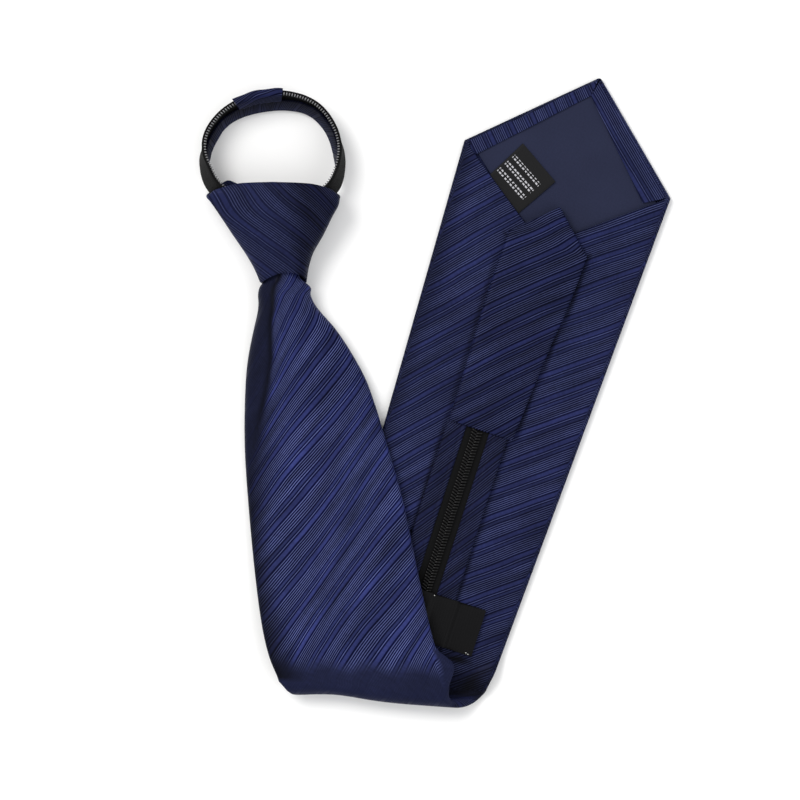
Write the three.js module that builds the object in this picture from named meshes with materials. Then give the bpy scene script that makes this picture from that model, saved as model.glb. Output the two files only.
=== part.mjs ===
// A ready-made zipper tie, folded once and lying on a table with its knot at the upper left.
// Millimetres, X to the right, Y away from the viewer, Z up. The table is the plane Z = 0 and
// the origin is on it, under the middle of the tie.
import * as THREE from 'three';

// The blade: the wide end of the tie, a flat cloth tube with a seam down its back
const BLADE_WIDTH = 85.6; // across the two corners of the tip
const FOLD_WIDTH = 71; // across the fold
const BACK_LENGTH = 218; // from the fold to the corners of the tip
const FRONT_LENGTH = 164; // from the knot's mouth to the fold
const TIP_LENGTH = 37.4; // from the corners to the point
const FRONT_LEAN = 11.4; // degrees, the front half's axis from the table's -Y
const BACK_LEAN = 18; // degrees, the back half's axis from +Y
const TIP_LEAN = 16.8; // degrees, the tip's own axis from +Y
const FOLD_LEAN = -2.7; // degrees, the fold line from +X
const FRONT_WALL = 1.2; // the cloth of the front face
const FLAP_WALL = 1.1; // the cloth of the two back flaps
const INNER_GAP = 1.2; // the hollow between them
const EDGE_WALL = 1.4; // the cloth where it turns round a long edge
const SEAM_GAP = 0.4; // between the two flaps
const FOLD_EASE = 0.06; // share of the back half where the strip straightens after the fold
const OPENING_DEPTH = 32.6; // from the tip's corners down to the V where the flaps part
const HEM_LEFT = 6.6; // the hem along the tip's left edge
const HEM_RIGHT = 7.6; // the hem along the tip's right edge
const FOLD_RADIUS_LEFT = 5.8; // the soft roll of the fold at its left end
const FOLD_RADIUS_RIGHT = 7.3; // and at its looser right end
const FOLD_SHIFT_LEFT = 14; // how far the left edge moves along the fold as it turns
const FOLD_SHIFT_RIGHT = 16; // and the right edge

// The zip strip on the blade's back
const STRIP_WIDTH = 25;
const STRIP_KNOT_WIDTH = 11.4; // where it is gathered into the knot
const STRIP_WALL = 1.4;
const STRIP_SHIFT = -2; // the strip lies a little left of the back half's axis
const ZIP_WIDTH = 9.2; // both closed tapes
const TAPE_WALL = 0.7;
const CHAIN_WIDTH = 4.6;
const CHAIN_WALL = 0.9;

// The tail at the strip's end
const TAIL_LENGTH = 94.6;
const TAIL_WIDTH = 33;
const TAIL_TIP = 15.8; // the length of its point
const TAIL_WALL = 1.0;
const TAIL_GAP = 1.0;
const TAIL_END_GAP = 16; // from the blade's corner line to the tail's point

// The knot
const KNOT_WIDTH = 54.6;
const KNOT_LENGTH = 39.9; // from its top rim to its mouth
const KNOT_DEPTH = 20.4;
const KNOT_WALL = 1.6;
const KNOT_RIM_DROP = 4.3; // how far the top rim falls towards both corners
const KNOT_NOTCH_DROP = 2.0; // how much lower the side walls end, where the neck loop goes in
const KNOT_MOUTH_ARCH = 3.6; // how far the mouth's front rim rises in the middle

// The neck loop, a flat band standing on its long edge
const LOOP_RADIUS = 27; // to the middle of the band, at the sides
const LOOP_RISE = 10.1; // from the knot's top rim up to the loop's centre
const LOOP_SHIFT = -2.8; // the loop's centre from the mouth's middle, to the right
const BAND_WIDTH = 8; // the cloth facing
const BAND_WALL = 2.6;
const NECK_TAPE_WIDTH = 3.0;
const NECK_TAPE_WALL = 0.8;
const COIL_SIZE = 2;
const SLEEVE_SPAN = 44; // degrees of the loop that the sleeve covers
const SLEEVE_MIDDLE = 104; // degrees from +X
const SLEEVE_WALL = 0.8;

// Small pieces
const LABEL_LENGTH = 19.8; // along the flap's edge
const LABEL_WIDTH = 16.4; // out into the opening
const LABEL_WALL = 0.6;
const LABEL_PLACE = 0.307; // share of the left flap's slanted edge, from the corner
const LINING_WALL = 0.6;
const LINING_TUCK = 4; // how far it goes on under the flaps
const KEEPER_WIDTH = 51; // across the strip
const KEEPER_LENGTH = 19.4; // along the strip
const KEEPER_WALL = 0.8;
const KEEPER_PLACE = 20.2; // from the fold to the keeper's near edge
const KEEPER_SLACK = 1.5; // how gently it climbs over the strip
const SLIDER_LENGTH = 9;
const SLIDER_WIDTH = 7;
const SLIDER_DEPTH = 4.4;

const CLEAR = 0.3; // between pieces that touch

// Proportions of the sections
const EDGE_MOST = 0.45; // a round edge's share of a narrow section, at most
const EDGE_INSIDE = 1.2; // how far the hollow stays from the side, in edges
const FLAP_LEAST = 1.5; // a flap's least width, in edges
const RIM_LEAST = 0.2; // how near the middle a flap may end, as a share of the rim
const EDGE_MIDDLE = 0.5; // where the side stands out most, as a share of the depth
const CORNER_SHARE = 0.12; // where the last section before the corners lies in the opening
const TIP_STATIONS = [0.15, 0.9]; // the first and last of the tip's even sections
const TIP_END = 0.985; // the section just short of the tip's point
const GATHER_SHARE = 0.22; // share of the front half where the strip gets its full width
const LINING_INSET = 2.6; // the lining's distance from the blade's sides, in edge walls
const TAIL_EDGE = 1.3; // the tail's round edge, in walls
const TAIL_EDGE_MOST = 0.4; // that edge's share of a narrow section, at most
const TAIL_SIDE = 0.45; // where the tail's side stands out most, as a share of its depth
const TAIL_CREST = 0.66; // how far from its middle the tail's top starts to rise
const TAIL_TIP_STATIONS = [0.5, 0.97];
const NOTCH_START = 0.39; // where the knot's side notches end, as the sine round it
const NOTCH_END = 0.55;
const SLIDER_NOSE = 0.6; // the slider's narrow end, as a share of its width
const SLIDER_PLACE = 0.3; // how far up the knot the slider lies
const SAG_POWER = 2.2; // how late towards the edges the front half sags

// Sections of the front half, from inside the knot down to the fold.
// along: share of FRONT_LENGTH. left, right: shares of FOLD_WIDTH, from the axis to the edges.
// top: share of the fold's height, the cloth's upper face in the middle.
// tilt: share of the difference between the fold's two radii, how far the right side is raised.
// sagLeft, sagRight: shares of the fold's height, how far the edges hang below the middle.
// depth: share of the blade's own thickness, how far its front and back are apart in the middle.
const FRONT_SECTIONS = [
  { along: -0.045, left: 0.075, right: 0.105, top: 1, tilt: 0, sagLeft: 0.2, sagRight: 0.2, depth: 1.8 },
  { along: 0.006, left: 0.08, right: 0.116, top: 1.02, tilt: 0, sagLeft: 0.24, sagRight: 0.22, depth: 1.9 },
  { along: 0.024, left: 0.13, right: 0.17, top: 1.08, tilt: 0, sagLeft: 0.42, sagRight: 0.4, depth: 2 },
  { along: 0.055, left: 0.155, right: 0.181, top: 1.1, tilt: 0, sagLeft: 0.55, sagRight: 0.5, depth: 2 },
  { along: 0.118, left: 0.204, right: 0.264, top: 1.07, tilt: 0, sagLeft: 0.66, sagRight: 0.45, depth: 1.8 },
  { along: 0.188, left: 0.27, right: 0.328, top: 0.98, tilt: 0, sagLeft: 0.65, sagRight: 0.4, depth: 1.5 },
  { along: 0.257, left: 0.317, right: 0.376, top: 0.88, tilt: 0, sagLeft: 0.58, sagRight: 0.34, depth: 1.25 },
  { along: 0.396, left: 0.386, right: 0.414, top: 0.76, tilt: 0, sagLeft: 0.46, sagRight: 0.22, depth: 1.05 },
  { along: 0.535, left: 0.432, right: 0.441, top: 0.76, tilt: 0.2, sagLeft: 0.42, sagRight: 0.1, depth: 1 },
  { along: 0.744, left: 0.483, right: 0.446, top: 0.92, tilt: 0.5, sagLeft: 0.36, sagRight: 0.1, depth: 1 },
  { along: 0.883, left: 0.501, right: 0.456, top: 1.02, tilt: 0.8, sagLeft: 0.2, sagRight: 0.05, depth: 1 },
  { along: 1, left: 0.487, right: 0.487, top: 1, tilt: 1, sagLeft: 0, sagRight: 0, depth: 1 },
];

// Sections of the knot, from its top rim to its mouth.
// along: share of KNOT_LENGTH. width, depth: shares of KNOT_WIDTH and KNOT_DEPTH.
// shift: share of KNOT_WIDTH, how far the section's middle is to the right of the mouth's middle.
// square: how square the section is, 2 for an ellipse and more for a box with round corners.
const KNOT_SECTIONS = [
  { along: 0, width: 0.981, shift: -0.056, depth: 0.95, square: 5.6 },
  { along: 0.05, width: 0.96, shift: -0.048, depth: 1, square: 5.4 },
  { along: 0.15, width: 0.896, shift: -0.038, depth: 1, square: 4.6 },
  { along: 0.3, width: 0.776, shift: -0.03, depth: 0.99, square: 3.6 },
  { along: 0.5, width: 0.615, shift: -0.014, depth: 0.95, square: 2.9 },
  { along: 0.7, width: 0.457, shift: 0.002, depth: 0.89, square: 2.6 },
  { along: 0.85, width: 0.387, shift: 0.012, depth: 0.83, square: 2.5 },
  { along: 1, width: 0.33, shift: 0.022, depth: 0.77, square: 2.5 },
];

// Stations round the neck loop, anticlockwise, as degrees from +X about the loop's centre.
// radius: share of LOOP_RADIUS, to the middle of the band.
// lean: degrees, how far the zip's edge leans outwards. lift: share of KNOT_WALL, under the band.
const LOOP_STATIONS = [
  { angle: -62, radius: 0.87, lean: -24, lift: 2.2 },
  { angle: -46, radius: 0.915, lean: -22, lift: 2.3 },
  { angle: -34, radius: 0.955, lean: -19, lift: 2.3 },
  { angle: -25, radius: 0.99, lean: -14, lift: 2.1 },
  { angle: -10, radius: 1.013, lean: -4, lift: 1.5 },
  { angle: 5, radius: 1.01, lean: 7, lift: 0.8 },
  { angle: 14, radius: 0.984, lean: 11, lift: 0.5 },
  { angle: 30, radius: 0.965, lean: 13, lift: 0.2 },
  { angle: 50, radius: 0.93, lean: 17.5, lift: 0.15 },
  { angle: 75, radius: 0.889, lean: 26, lift: 0.15 },
  { angle: 98, radius: 0.866, lean: 29, lift: 0.15 },
  { angle: 120, radius: 0.885, lean: 27, lift: 0.15 },
  { angle: 145, radius: 0.932, lean: 20, lift: 0.2 },
  { angle: 163, radius: 0.98, lean: 12, lift: 0.5 },
  { angle: 177, radius: 1.006, lean: 3, lift: 0.9 },
  { angle: 190, radius: 1.01, lean: -8, lift: 1.5 },
  { angle: 202, radius: 0.985, lean: -17, lift: 1.9 },
  { angle: 213, radius: 0.947, lean: -23, lift: 2.3 },
  { angle: 226, radius: 0.91, lean: -25, lift: 2.3 },
  { angle: 242, radius: 0.88, lean: -25, lift: 2.1 },
];

// Sections of the tail, from its seam with the strip to its corners.
// along: share of its length to the corners. left, right: shares of TAIL_WIDTH from the back
// half's axis. crease: share of TAIL_GAP, how far a soft crease lifts the cloth.
const TAIL_SECTIONS = [
  { along: 0, left: 0.433, right: 0.382, crease: 0 },
  { along: 0.12, left: 0.437, right: 0.4, crease: 0.3 },
  { along: 0.22, left: 0.44, right: 0.415, crease: 0 },
  { along: 0.34, left: 0.445, right: 0.435, crease: 0.35 },
  { along: 0.48, left: 0.455, right: 0.46, crease: 0 },
  { along: 0.67, left: 0.46, right: 0.51, crease: 0.15 },
  { along: 0.84, left: 0.46, right: 0.54, crease: 0 },
  { along: 1, left: 0.448, right: 0.552, crease: 0 },
];

// How many faces each form takes
const FRONT_STEPS = 20;
const FOLD_STEPS = 10;
const BACK_STEPS = 5;
const FACE_STEPS = 10;
const FLAP_STEPS = 3;
const KNOT_SIDES = 32;
const KNOT_STEPS = 11;
const LOOP_STEP = 6; // degrees
const TAIL_STEPS = 12;
const OPENING_STEPS = 2;
const TIP_STEPS = 5;
const STRIP_STEPS = 4;
const CREST_STEPS = 4;
const COIL_SIDES = 6;

// Values worked out from the sizes
const rad = THREE.MathUtils.degToRad;
const lerp = THREE.MathUtils.lerp;
const FOLD_HEIGHT = FOLD_RADIUS_LEFT + FOLD_RADIUS_RIGHT;
const BLADE_DEPTH = FRONT_WALL + INNER_GAP + FLAP_WALL;
const STRIP_FOOT = 1.5 * CLEAR;
const STRIP_DEPTH = STRIP_WALL + STRIP_FOOT;
const STACK_DEPTH = BLADE_DEPTH + STRIP_DEPTH;
const frontWay = new THREE.Vector3(Math.sin(rad(FRONT_LEAN)), -Math.cos(rad(FRONT_LEAN)), 0);
const backWay = new THREE.Vector3(Math.sin(rad(BACK_LEAN)), Math.cos(rad(BACK_LEAN)), 0);
const backSide = new THREE.Vector3(backWay.y, -backWay.x, 0);
const tipWay = new THREE.Vector3(Math.sin(rad(TIP_LEAN)), Math.cos(rad(TIP_LEAN)), 0);
const tipSide = new THREE.Vector3(tipWay.y, -tipWay.x, 0);
const foldWay = new THREE.Vector3(Math.cos(rad(FOLD_LEAN)), Math.sin(rad(FOLD_LEAN)), 0);
const foldOut = new THREE.Vector3(foldWay.y, -foldWay.x, 0);
const UP = new THREE.Vector3(0, 0, 1);

// The fold's middle is the place that everything is laid out from
const foldMiddle = new THREE.Vector3(0, 0, 0);
const mouthMiddle = foldMiddle.clone().addScaledVector(frontWay, -FRONT_LENGTH);
const foldHalf = FOLD_WIDTH * FRONT_SECTIONS[FRONT_SECTIONS.length - 1].left;
const turnedLeft = foldMiddle.clone().addScaledVector(foldWay, FOLD_SHIFT_LEFT - foldHalf);
const turnedRight = foldMiddle.clone().addScaledVector(foldWay, FOLD_SHIFT_RIGHT + foldHalf);
const turnedMiddle = turnedLeft.clone().add(turnedRight).multiplyScalar(0.5);
const tipMiddle = turnedMiddle.clone().addScaledVector(backWay, BACK_LENGTH);
const tipLeft = tipMiddle.clone().addScaledVector(tipSide, -BLADE_WIDTH / 2);
const tipRight = tipMiddle.clone().addScaledVector(tipSide, BLADE_WIDTH / 2);
const tipPoint = tipMiddle.clone().addScaledVector(tipWay, TIP_LENGTH);

// A column of a table at any place, on a smooth curve through its rows
function column(rows, key, name, at) {
  const last = rows.length - 1;
  let i = 0;
  while (i < last - 1 && rows[i + 1][key] < at) i += 1;
  const slope = (k) => {
    const a = rows[Math.max(k - 1, 0)];
    const b = rows[Math.min(k + 1, last)];
    return (b[name] - a[name]) / (b[key] - a[key]);
  };
  const span = rows[i + 1][key] - rows[i][key];
  const t = THREE.MathUtils.clamp((at - rows[i][key]) / span, 0, 1);
  const bend = t * t * (3 - 2 * t);
  const start = slope(i) * span * t * (1 - t) * (1 - t);
  const end = slope(i + 1) * span * t * t * (1 - t);
  return lerp(rows[i][name], rows[i + 1][name], bend) + start - end;
}

// The blade's outer face as a ruled sheet. run goes 0 to 1 down the front half, to 2 round the
// fold, to 3 along the back half and to 4 over the tip. across goes -1 to 1, left to right.
function bladeEdges(run) {
  if (run < 1) {
    const middle = mouthMiddle.clone().addScaledVector(frontWay, FRONT_LENGTH * run);
    const row = (name) => column(FRONT_SECTIONS, 'along', name, run);
    const way = new THREE.Vector3(1, 0, 0).lerp(foldWay, Math.max(run, 0)).normalize();
    const top = FOLD_HEIGHT * row('top');
    const lift = (FOLD_RADIUS_RIGHT - FOLD_RADIUS_LEFT) * row('tilt');
    const left = middle.clone().addScaledVector(way, -FOLD_WIDTH * row('left'));
    const right = middle.clone().addScaledVector(way, FOLD_WIDTH * row('right'));
    left.z = top - lift;
    right.z = top + lift;
    const sags = [FOLD_HEIGHT * row('sagLeft'), FOLD_HEIGHT * row('sagRight')];
    return { left, right, sags, depth: row('depth') };
  }
  if (run < 2) {
    const turn = (run - 1) * Math.PI;
    const edge = (side, radius, shift) => foldMiddle
      .clone()
      .addScaledVector(foldWay, side * foldHalf + shift)
      .addScaledVector(foldOut, radius * Math.sin(turn))
      .addScaledVector(UP, radius * (1 + Math.cos(turn)));
    const left = edge(-1, FOLD_RADIUS_LEFT, FOLD_SHIFT_LEFT * (run - 1));
    const right = edge(1, FOLD_RADIUS_RIGHT, FOLD_SHIFT_RIGHT * (run - 1) ** 2);
    return { left, right, sags: [0, 0], depth: 1 };
  }
  if (run < 3) {
    const left = turnedLeft.clone().lerp(tipLeft, run - 2);
    const right = turnedRight.clone().lerp(tipRight, run - 2);
    return { left, right, sags: [0, 0], depth: 1 };
  }
  const left = tipLeft.clone().lerp(tipPoint, run - 3);
  const right = tipRight.clone().lerp(tipPoint, run - 3);
  return { left, right, sags: [0, 0], depth: 1 };
}

// The way from the front face to the back of the cloth, the same all across a section
function inward(run) {
  if (run >= 2) return UP.clone();
  const step = 0.01;
  const middle = (at) => {
    const { left, right } = bladeEdges(at);
    return left.add(right).multiplyScalar(0.5);
  };
  const way = middle(run + step).sub(middle(run - step));
  const { left, right } = bladeEdges(run);
  return right.sub(left).cross(way).normalize();
}

// Half the blade's width at a section
function halfWidth(run) {
  const { left, right } = bladeEdges(run);
  return left.distanceTo(right) / 2;
}

// How far apart the blade's front and back faces are
function bladeDepth(run, across) {
  const { depth } = bladeEdges(run);
  return BLADE_DEPTH * (1 + (depth - 1) * (1 - Math.abs(across) ** 2));
}

// A point on or behind the blade's outer face
function bladePoint(run, across, behind) {
  const { left, right, sags } = bladeEdges(run);
  const point = left.lerp(right, (across + 1) / 2);
  point.z -= sags[across < 0 ? 0 : 1] * Math.abs(across) ** SAG_POWER;
  return point.addScaledVector(inward(run), behind);
}

// A closed body from rings of points, one ring for each section. The ends are filled flat.
function loft(rings, flat) {
  const count = rings[0].length;
  const points = rings.flat();
  const faces = [];
  for (let r = 0; r + 1 < rings.length; r += 1) {
    for (let i = 0; i < count; i += 1) {
      const j = (i + 1) % count;
      const a = r * count + i;
      const b = r * count + j;
      faces.push([a, b, b + count], [a, b + count, a + count]);
    }
  }
  const cap = THREE.ShapeUtils.triangulateShape(flat, []);
  const last = (rings.length - 1) * count;
  for (const [a, b, c] of cap) {
    faces.push([c, b, a], [a + last, b + last, c + last]);
  }
  return body(points, faces);
}

// A tube with a wall, open at both ends, from matching outer and inner rings
function openTube(outer, inner) {
  const count = outer[0].length;
  const last = outer.length - 1;
  const points = [...outer.flat(), ...inner.flat()];
  const shift = outer.length * count;
  const faces = [];
  const quad = (a, b, c, d) => faces.push([a, b, c], [a, c, d]);
  for (let i = 0; i < count; i += 1) {
    const j = (i + 1) % count;
    for (let r = 0; r < last; r += 1) {
      const a = r * count + i;
      const b = r * count + j;
      quad(a, b, b + count, a + count);
      quad(a + count + shift, b + count + shift, b + shift, a + shift);
    }
    quad(j, i, i + shift, j + shift);
    const end = last * count;
    quad(end + i, end + j, end + j + shift, end + i + shift);
  }
  return body(points, faces);
}

// A geometry with its faces turned outwards
function body(points, faces) {
  let volume = 0;
  for (const [a, b, c] of faces) {
    volume += points[a].dot(points[b].clone().cross(points[c]));
  }
  const turned = volume < 0 ? faces.map(([a, b, c]) => [a, c, b]) : faces;
  const geometry = new THREE.BufferGeometry().setFromPoints(points);
  geometry.setIndex(turned.flat());
  geometry.computeVertexNormals();
  return geometry;
}

// Evenly spread numbers
function spread(from, to, steps) {
  return Array.from({ length: steps + 1 }, (_, i) => lerp(from, to, i / steps));
}

// Which runs the blade has a section at, with more of them near the knot
const openingRun = 3 - OPENING_DEPTH / BACK_LENGTH;
const frontStart = FRONT_SECTIONS[0].along;
const frontRuns = FRONT_SECTIONS.flatMap((row, i) => {
  const next = FRONT_SECTIONS[i + 1];
  return next ? spread(row.along, next.along, i < 4 ? 1 : 2).slice(0, -1) : [];
});

// How far the tip's opening reaches from the middle to each side, in millimetres
function opening(run, hem) {
  const slant = Math.hypot(BLADE_WIDTH / 2, TIP_LENGTH) / TIP_LENGTH;
  const past = run < 3 ? (run - 3) * BACK_LENGTH : (run - 3) * TIP_LENGTH;
  const alongFlap = (BLADE_WIDTH / 2) * (1 + past / OPENING_DEPTH);
  const alongHem = (BLADE_WIDTH / 2) * (1 - past / TIP_LENGTH) - hem * slant;
  return Math.max(SEAM_GAP / 2, Math.min(alongFlap, alongHem));
}

// The blade's section: the front face, then each flap folded back to the seam or the opening
function bladeRing(run) {
  const half = halfWidth(run);
  const edge = Math.min(EDGE_WALL / half, EDGE_MOST);
  const rim = 1 - edge;
  const widest = Math.max(rim - FLAP_LEAST * edge, RIM_LEAST * rim);
  const right = Math.min(opening(run, HEM_RIGHT) / half, widest);
  const left = Math.min(opening(run, HEM_LEFT) / half, widest);
  const inner = 1 - edge * EDGE_INSIDE;
  const deep = (q) => bladeDepth(run, q);
  const flat = [];
  const add = (q, behind) => flat.push([q, behind]);
  for (const q of spread(-rim, rim, FACE_STEPS)) add(q, 0);
  add(1, deep(1) * EDGE_MIDDLE);
  for (const q of spread(rim, right, FLAP_STEPS)) add(q, deep(q));
  for (const q of spread(right, inner, FLAP_STEPS)) add(q, deep(q) - FLAP_WALL);
  for (const q of spread(inner, -inner, FACE_STEPS)) add(q, FRONT_WALL);
  for (const q of spread(-inner, -left, FLAP_STEPS)) add(q, deep(q) - FLAP_WALL);
  for (const q of spread(-left, -rim, FLAP_STEPS)) add(q, deep(q));
  add(-1, deep(1) * EDGE_MIDDLE);
  return flat;
}

function frontBlade() {
  const flapMeet = 3 - (OPENING_DEPTH / BACK_LENGTH) * CORNER_SHARE;
  const runs = [
    ...frontRuns,
    ...spread(1, 2, FOLD_STEPS).slice(0, -1),
    ...spread(2, openingRun, BACK_STEPS).slice(0, -1),
    ...spread(openingRun, flapMeet, OPENING_STEPS),
    3,
    ...spread(3 + TIP_STATIONS[0], 3 + TIP_STATIONS[1], TIP_STEPS),
    3 + TIP_END,
  ];
  const flats = runs.map(bladeRing);
  const rings = flats.map((flat, i) => flat.map(([q, behind]) => bladePoint(runs[i], q, behind)));
  return loft(rings, flats[0].map(([q, behind]) => new THREE.Vector2(q * 10, behind)));
}

// A flat band on the blade's back, between two places across it and two heights above it
function backBand(runs, from, to, low, high) {
  const place = (run, side, height) => {
    if (run > 2) return backPlace(side + STRIP_SHIFT, BACK_LENGTH * (run - 2), BLADE_DEPTH + height);
    const shift = STRIP_SHIFT * THREE.MathUtils.smoothstep(run, 1, 2);
    const across = (side + shift) / halfWidth(run);
    return bladePoint(run, across, bladeDepth(run, across) + height);
  };
  const rings = runs.map((run) => [
    place(run, from(run), low),
    place(run, to(run), low),
    place(run, to(run), high),
    place(run, from(run), high),
  ]);
  const flat = [[0, 0], [1, 0], [1, 1], [0, 1]].map(([x, y]) => new THREE.Vector2(x, y));
  return loft(rings, flat);
}

// The strip runs from inside the knot, round the fold, to the tail's seam
const tailStart = BACK_LENGTH - TAIL_END_GAP - TAIL_LENGTH;
const stripEnd = 2 + (tailStart - CLEAR) / BACK_LENGTH;
const stripRuns = [
  frontStart,
  ...frontRuns.slice(1),
  ...spread(1, 2, FOLD_STEPS),
  ...spread(2 + FOLD_EASE, stripEnd, STRIP_STEPS),
];

// The strip's half width, gathered towards the knot
function stripHalf(run) {
  const open = THREE.MathUtils.smoothstep(run, 0, GATHER_SHARE);
  return lerp(STRIP_KNOT_WIDTH, STRIP_WIDTH, open) / 2;
}

function stripCloth(side) {
  const inner = () => side * (ZIP_WIDTH / 2 + STRIP_FOOT);
  const outer = (run) => side * stripHalf(run);
  return backBand(stripRuns, inner, outer, STRIP_FOOT, STRIP_DEPTH);
}

function zipTape(side) {
  const inner = () => side * CLEAR / 2;
  const outer = () => side * ZIP_WIDTH / 2;
  return backBand(stripRuns, inner, outer, CLEAR, CLEAR + TAPE_WALL);
}

function zipChain() {
  const low = TAPE_WALL + 2 * CLEAR;
  return backBand(stripRuns, () => -CHAIN_WIDTH / 2, () => CHAIN_WIDTH / 2, low, low + CHAIN_WALL);
}

// A place on the back half: across and along its axis from the fold, and up from the table
function backPlace(across, along, up) {
  return turnedMiddle
    .clone()
    .addScaledVector(backSide, across)
    .addScaledVector(backWay, along)
    .addScaledVector(UP, up);
}

// A flat plate on the back half, from its outline in across and along
function plate(outline, low, high) {
  const rings = [low, high].map((up) => outline.map(([u, v]) => backPlace(u, v, up)));
  return loft(rings, outline.map(([u, v]) => new THREE.Vector2(u, v)));
}

// Where the flaps' slanted edges and the hems leave the lining open
function openingCorner(side, hem) {
  const slant = Math.hypot(BLADE_WIDTH / 2, TIP_LENGTH) / TIP_LENGTH;
  const past = -(hem * slant) / (BLADE_WIDTH / 2 / OPENING_DEPTH + BLADE_WIDTH / 2 / TIP_LENGTH);
  return [side * (BLADE_WIDTH / 2) * (1 + past / OPENING_DEPTH), BACK_LENGTH + past];
}

// The lining fills the opening and reaches under the flaps and hems
function tipLining() {
  const reach = 1 - (EDGE_WALL * LINING_INSET) / (BLADE_WIDTH / 2);
  const [rightU, rightV] = openingCorner(reach, HEM_RIGHT / 2);
  const [leftU, leftV] = openingCorner(-reach, HEM_LEFT / 2);
  const foot = BACK_LENGTH - OPENING_DEPTH - LINING_TUCK;
  const peak = BACK_LENGTH + TIP_LENGTH - HEM_LEFT;
  const outline = [[0, foot], [rightU, rightV], [0, peak], [leftU, leftV]];
  const low = FRONT_WALL + CLEAR;
  return plate(outline, low, low + LINING_WALL);
}

// The care label stands out from the left flap's slanted edge, over the lining
function careLabel() {
  const corner = new THREE.Vector2(-BLADE_WIDTH / 2, BACK_LENGTH);
  const foot = new THREE.Vector2(0, BACK_LENGTH - OPENING_DEPTH);
  const edge = foot.clone().sub(corner);
  const way = edge.clone().normalize();
  const out = new THREE.Vector2(-way.y, way.x);
  const start = corner.clone().addScaledVector(edge, LABEL_PLACE).addScaledVector(out, CLEAR * 2);
  const at = (a, b) => start.clone().addScaledVector(way, a).addScaledVector(out, b).toArray();
  const outline = [at(0, 0), at(LABEL_LENGTH, 0), at(LABEL_LENGTH, LABEL_WIDTH), at(0, LABEL_WIDTH)];
  const low = FRONT_WALL + LINING_WALL + 2 * CLEAR;
  return plate(outline, low, low + LABEL_WALL);
}

// The keeper bridges the strip, a ribbon with both ends on the blade's back
function keeperLoop() {
  const half = KEEPER_WIDTH / 2;
  const foot = BLADE_DEPTH + CLEAR;
  const shelf = STACK_DEPTH + CLEAR;
  const ridge = BLADE_DEPTH + TAPE_WALL + CHAIN_WALL + 3 * CLEAR;
  const bends = [
    [-half, foot],
    [-STRIP_WIDTH / 2 - 3 * CLEAR - KEEPER_SLACK, foot],
    [-STRIP_WIDTH / 2 - 3 * CLEAR, shelf],
    [-CHAIN_WIDTH / 2 - 2 * CLEAR - KEEPER_SLACK, shelf],
    [-CHAIN_WIDTH / 2 - 2 * CLEAR, ridge],
  ];
  const lower = [...bends, ...bends.map(([u, up]) => [-u, up]).reverse()];
  const upper = lower.map(([u, up]) => [u, up + KEEPER_WALL]).reverse();
  const section = [...lower, ...upper];
  const rings = [KEEPER_PLACE, KEEPER_PLACE + KEEPER_LENGTH].map((along) => section.map(([u, up]) =>
    backPlace(u + STRIP_SHIFT, along, up)));
  return loft(rings, section.map(([u, up]) => new THREE.Vector2(u, up)));
}

// The tail is a folded tube like the blade, its seam underneath
function tailBlade() {
  const straight = TAIL_LENGTH - TAIL_TIP;
  const low = BLADE_DEPTH + CLEAR;
  const deep = 2 * TAIL_WALL + TAIL_GAP;
  const ring = (left, right, crease, along) => {
    const middle = (right - left) / 2;
    const half = (right + left) / 2;
    const edge = Math.min(TAIL_WALL * TAIL_EDGE, half * TAIL_EDGE_MOST);
    const seam = Math.min(SEAM_GAP / 2, (half - edge) / 2);
    const side = (sign) => [
      [sign * seam, low],
      [sign * (half - edge), low],
      [sign * half, low + deep * TAIL_SIDE],
      [sign * (half - edge), low + deep],
    ];
    const hollow = (sign) => [
      [sign * (half - edge * EDGE_INSIDE), low + deep - TAIL_WALL],
      [sign * (half - edge * EDGE_INSIDE), low + TAIL_WALL],
      [sign * seam, low + TAIL_WALL],
    ];
    const top = spread(TAIL_CREST, -TAIL_CREST, CREST_STEPS).map((q) => [
      q * (half - edge),
      low + deep + crease * TAIL_GAP * Math.cos((q * Math.PI) / 2),
    ]);
    const outer = [...side(1), ...top, ...side(-1).reverse()];
    const inner = [...hollow(-1).reverse(), ...hollow(1)];
    return [...outer, ...inner].map(([u, up]) => [u + middle, along, up]);
  };
  const rows = spread(0, 1, TAIL_STEPS).map((t) => {
    const at = (name) => column(TAIL_SECTIONS, 'along', name, t);
    return ring(TAIL_WIDTH * at('left'), TAIL_WIDTH * at('right'), at('crease'), tailStart + straight * t);
  });
  const end = TAIL_SECTIONS[TAIL_SECTIONS.length - 1];
  const point = TAIL_WIDTH * (end.right - end.left) / 2;
  for (const t of TAIL_TIP_STATIONS) {
    const left = lerp(TAIL_WIDTH * end.left, -point, t);
    const right = lerp(TAIL_WIDTH * end.right, point, t);
    rows.push(ring(left, right, 0, tailStart + straight + TAIL_TIP * t));
  }
  const rings = rows.map((row) => row.map((place) => backPlace(...place)));
  return loft(rings, rows[0].map(([u, , up]) => new THREE.Vector2(u, up)));
}

// The knot stands over the blade's upper end, with its back on the table
const knotTop = mouthMiddle.y + KNOT_LENGTH;
const loopCentre = new THREE.Vector3(mouthMiddle.x + LOOP_SHIFT, knotTop + LOOP_RISE, 0);

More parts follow.
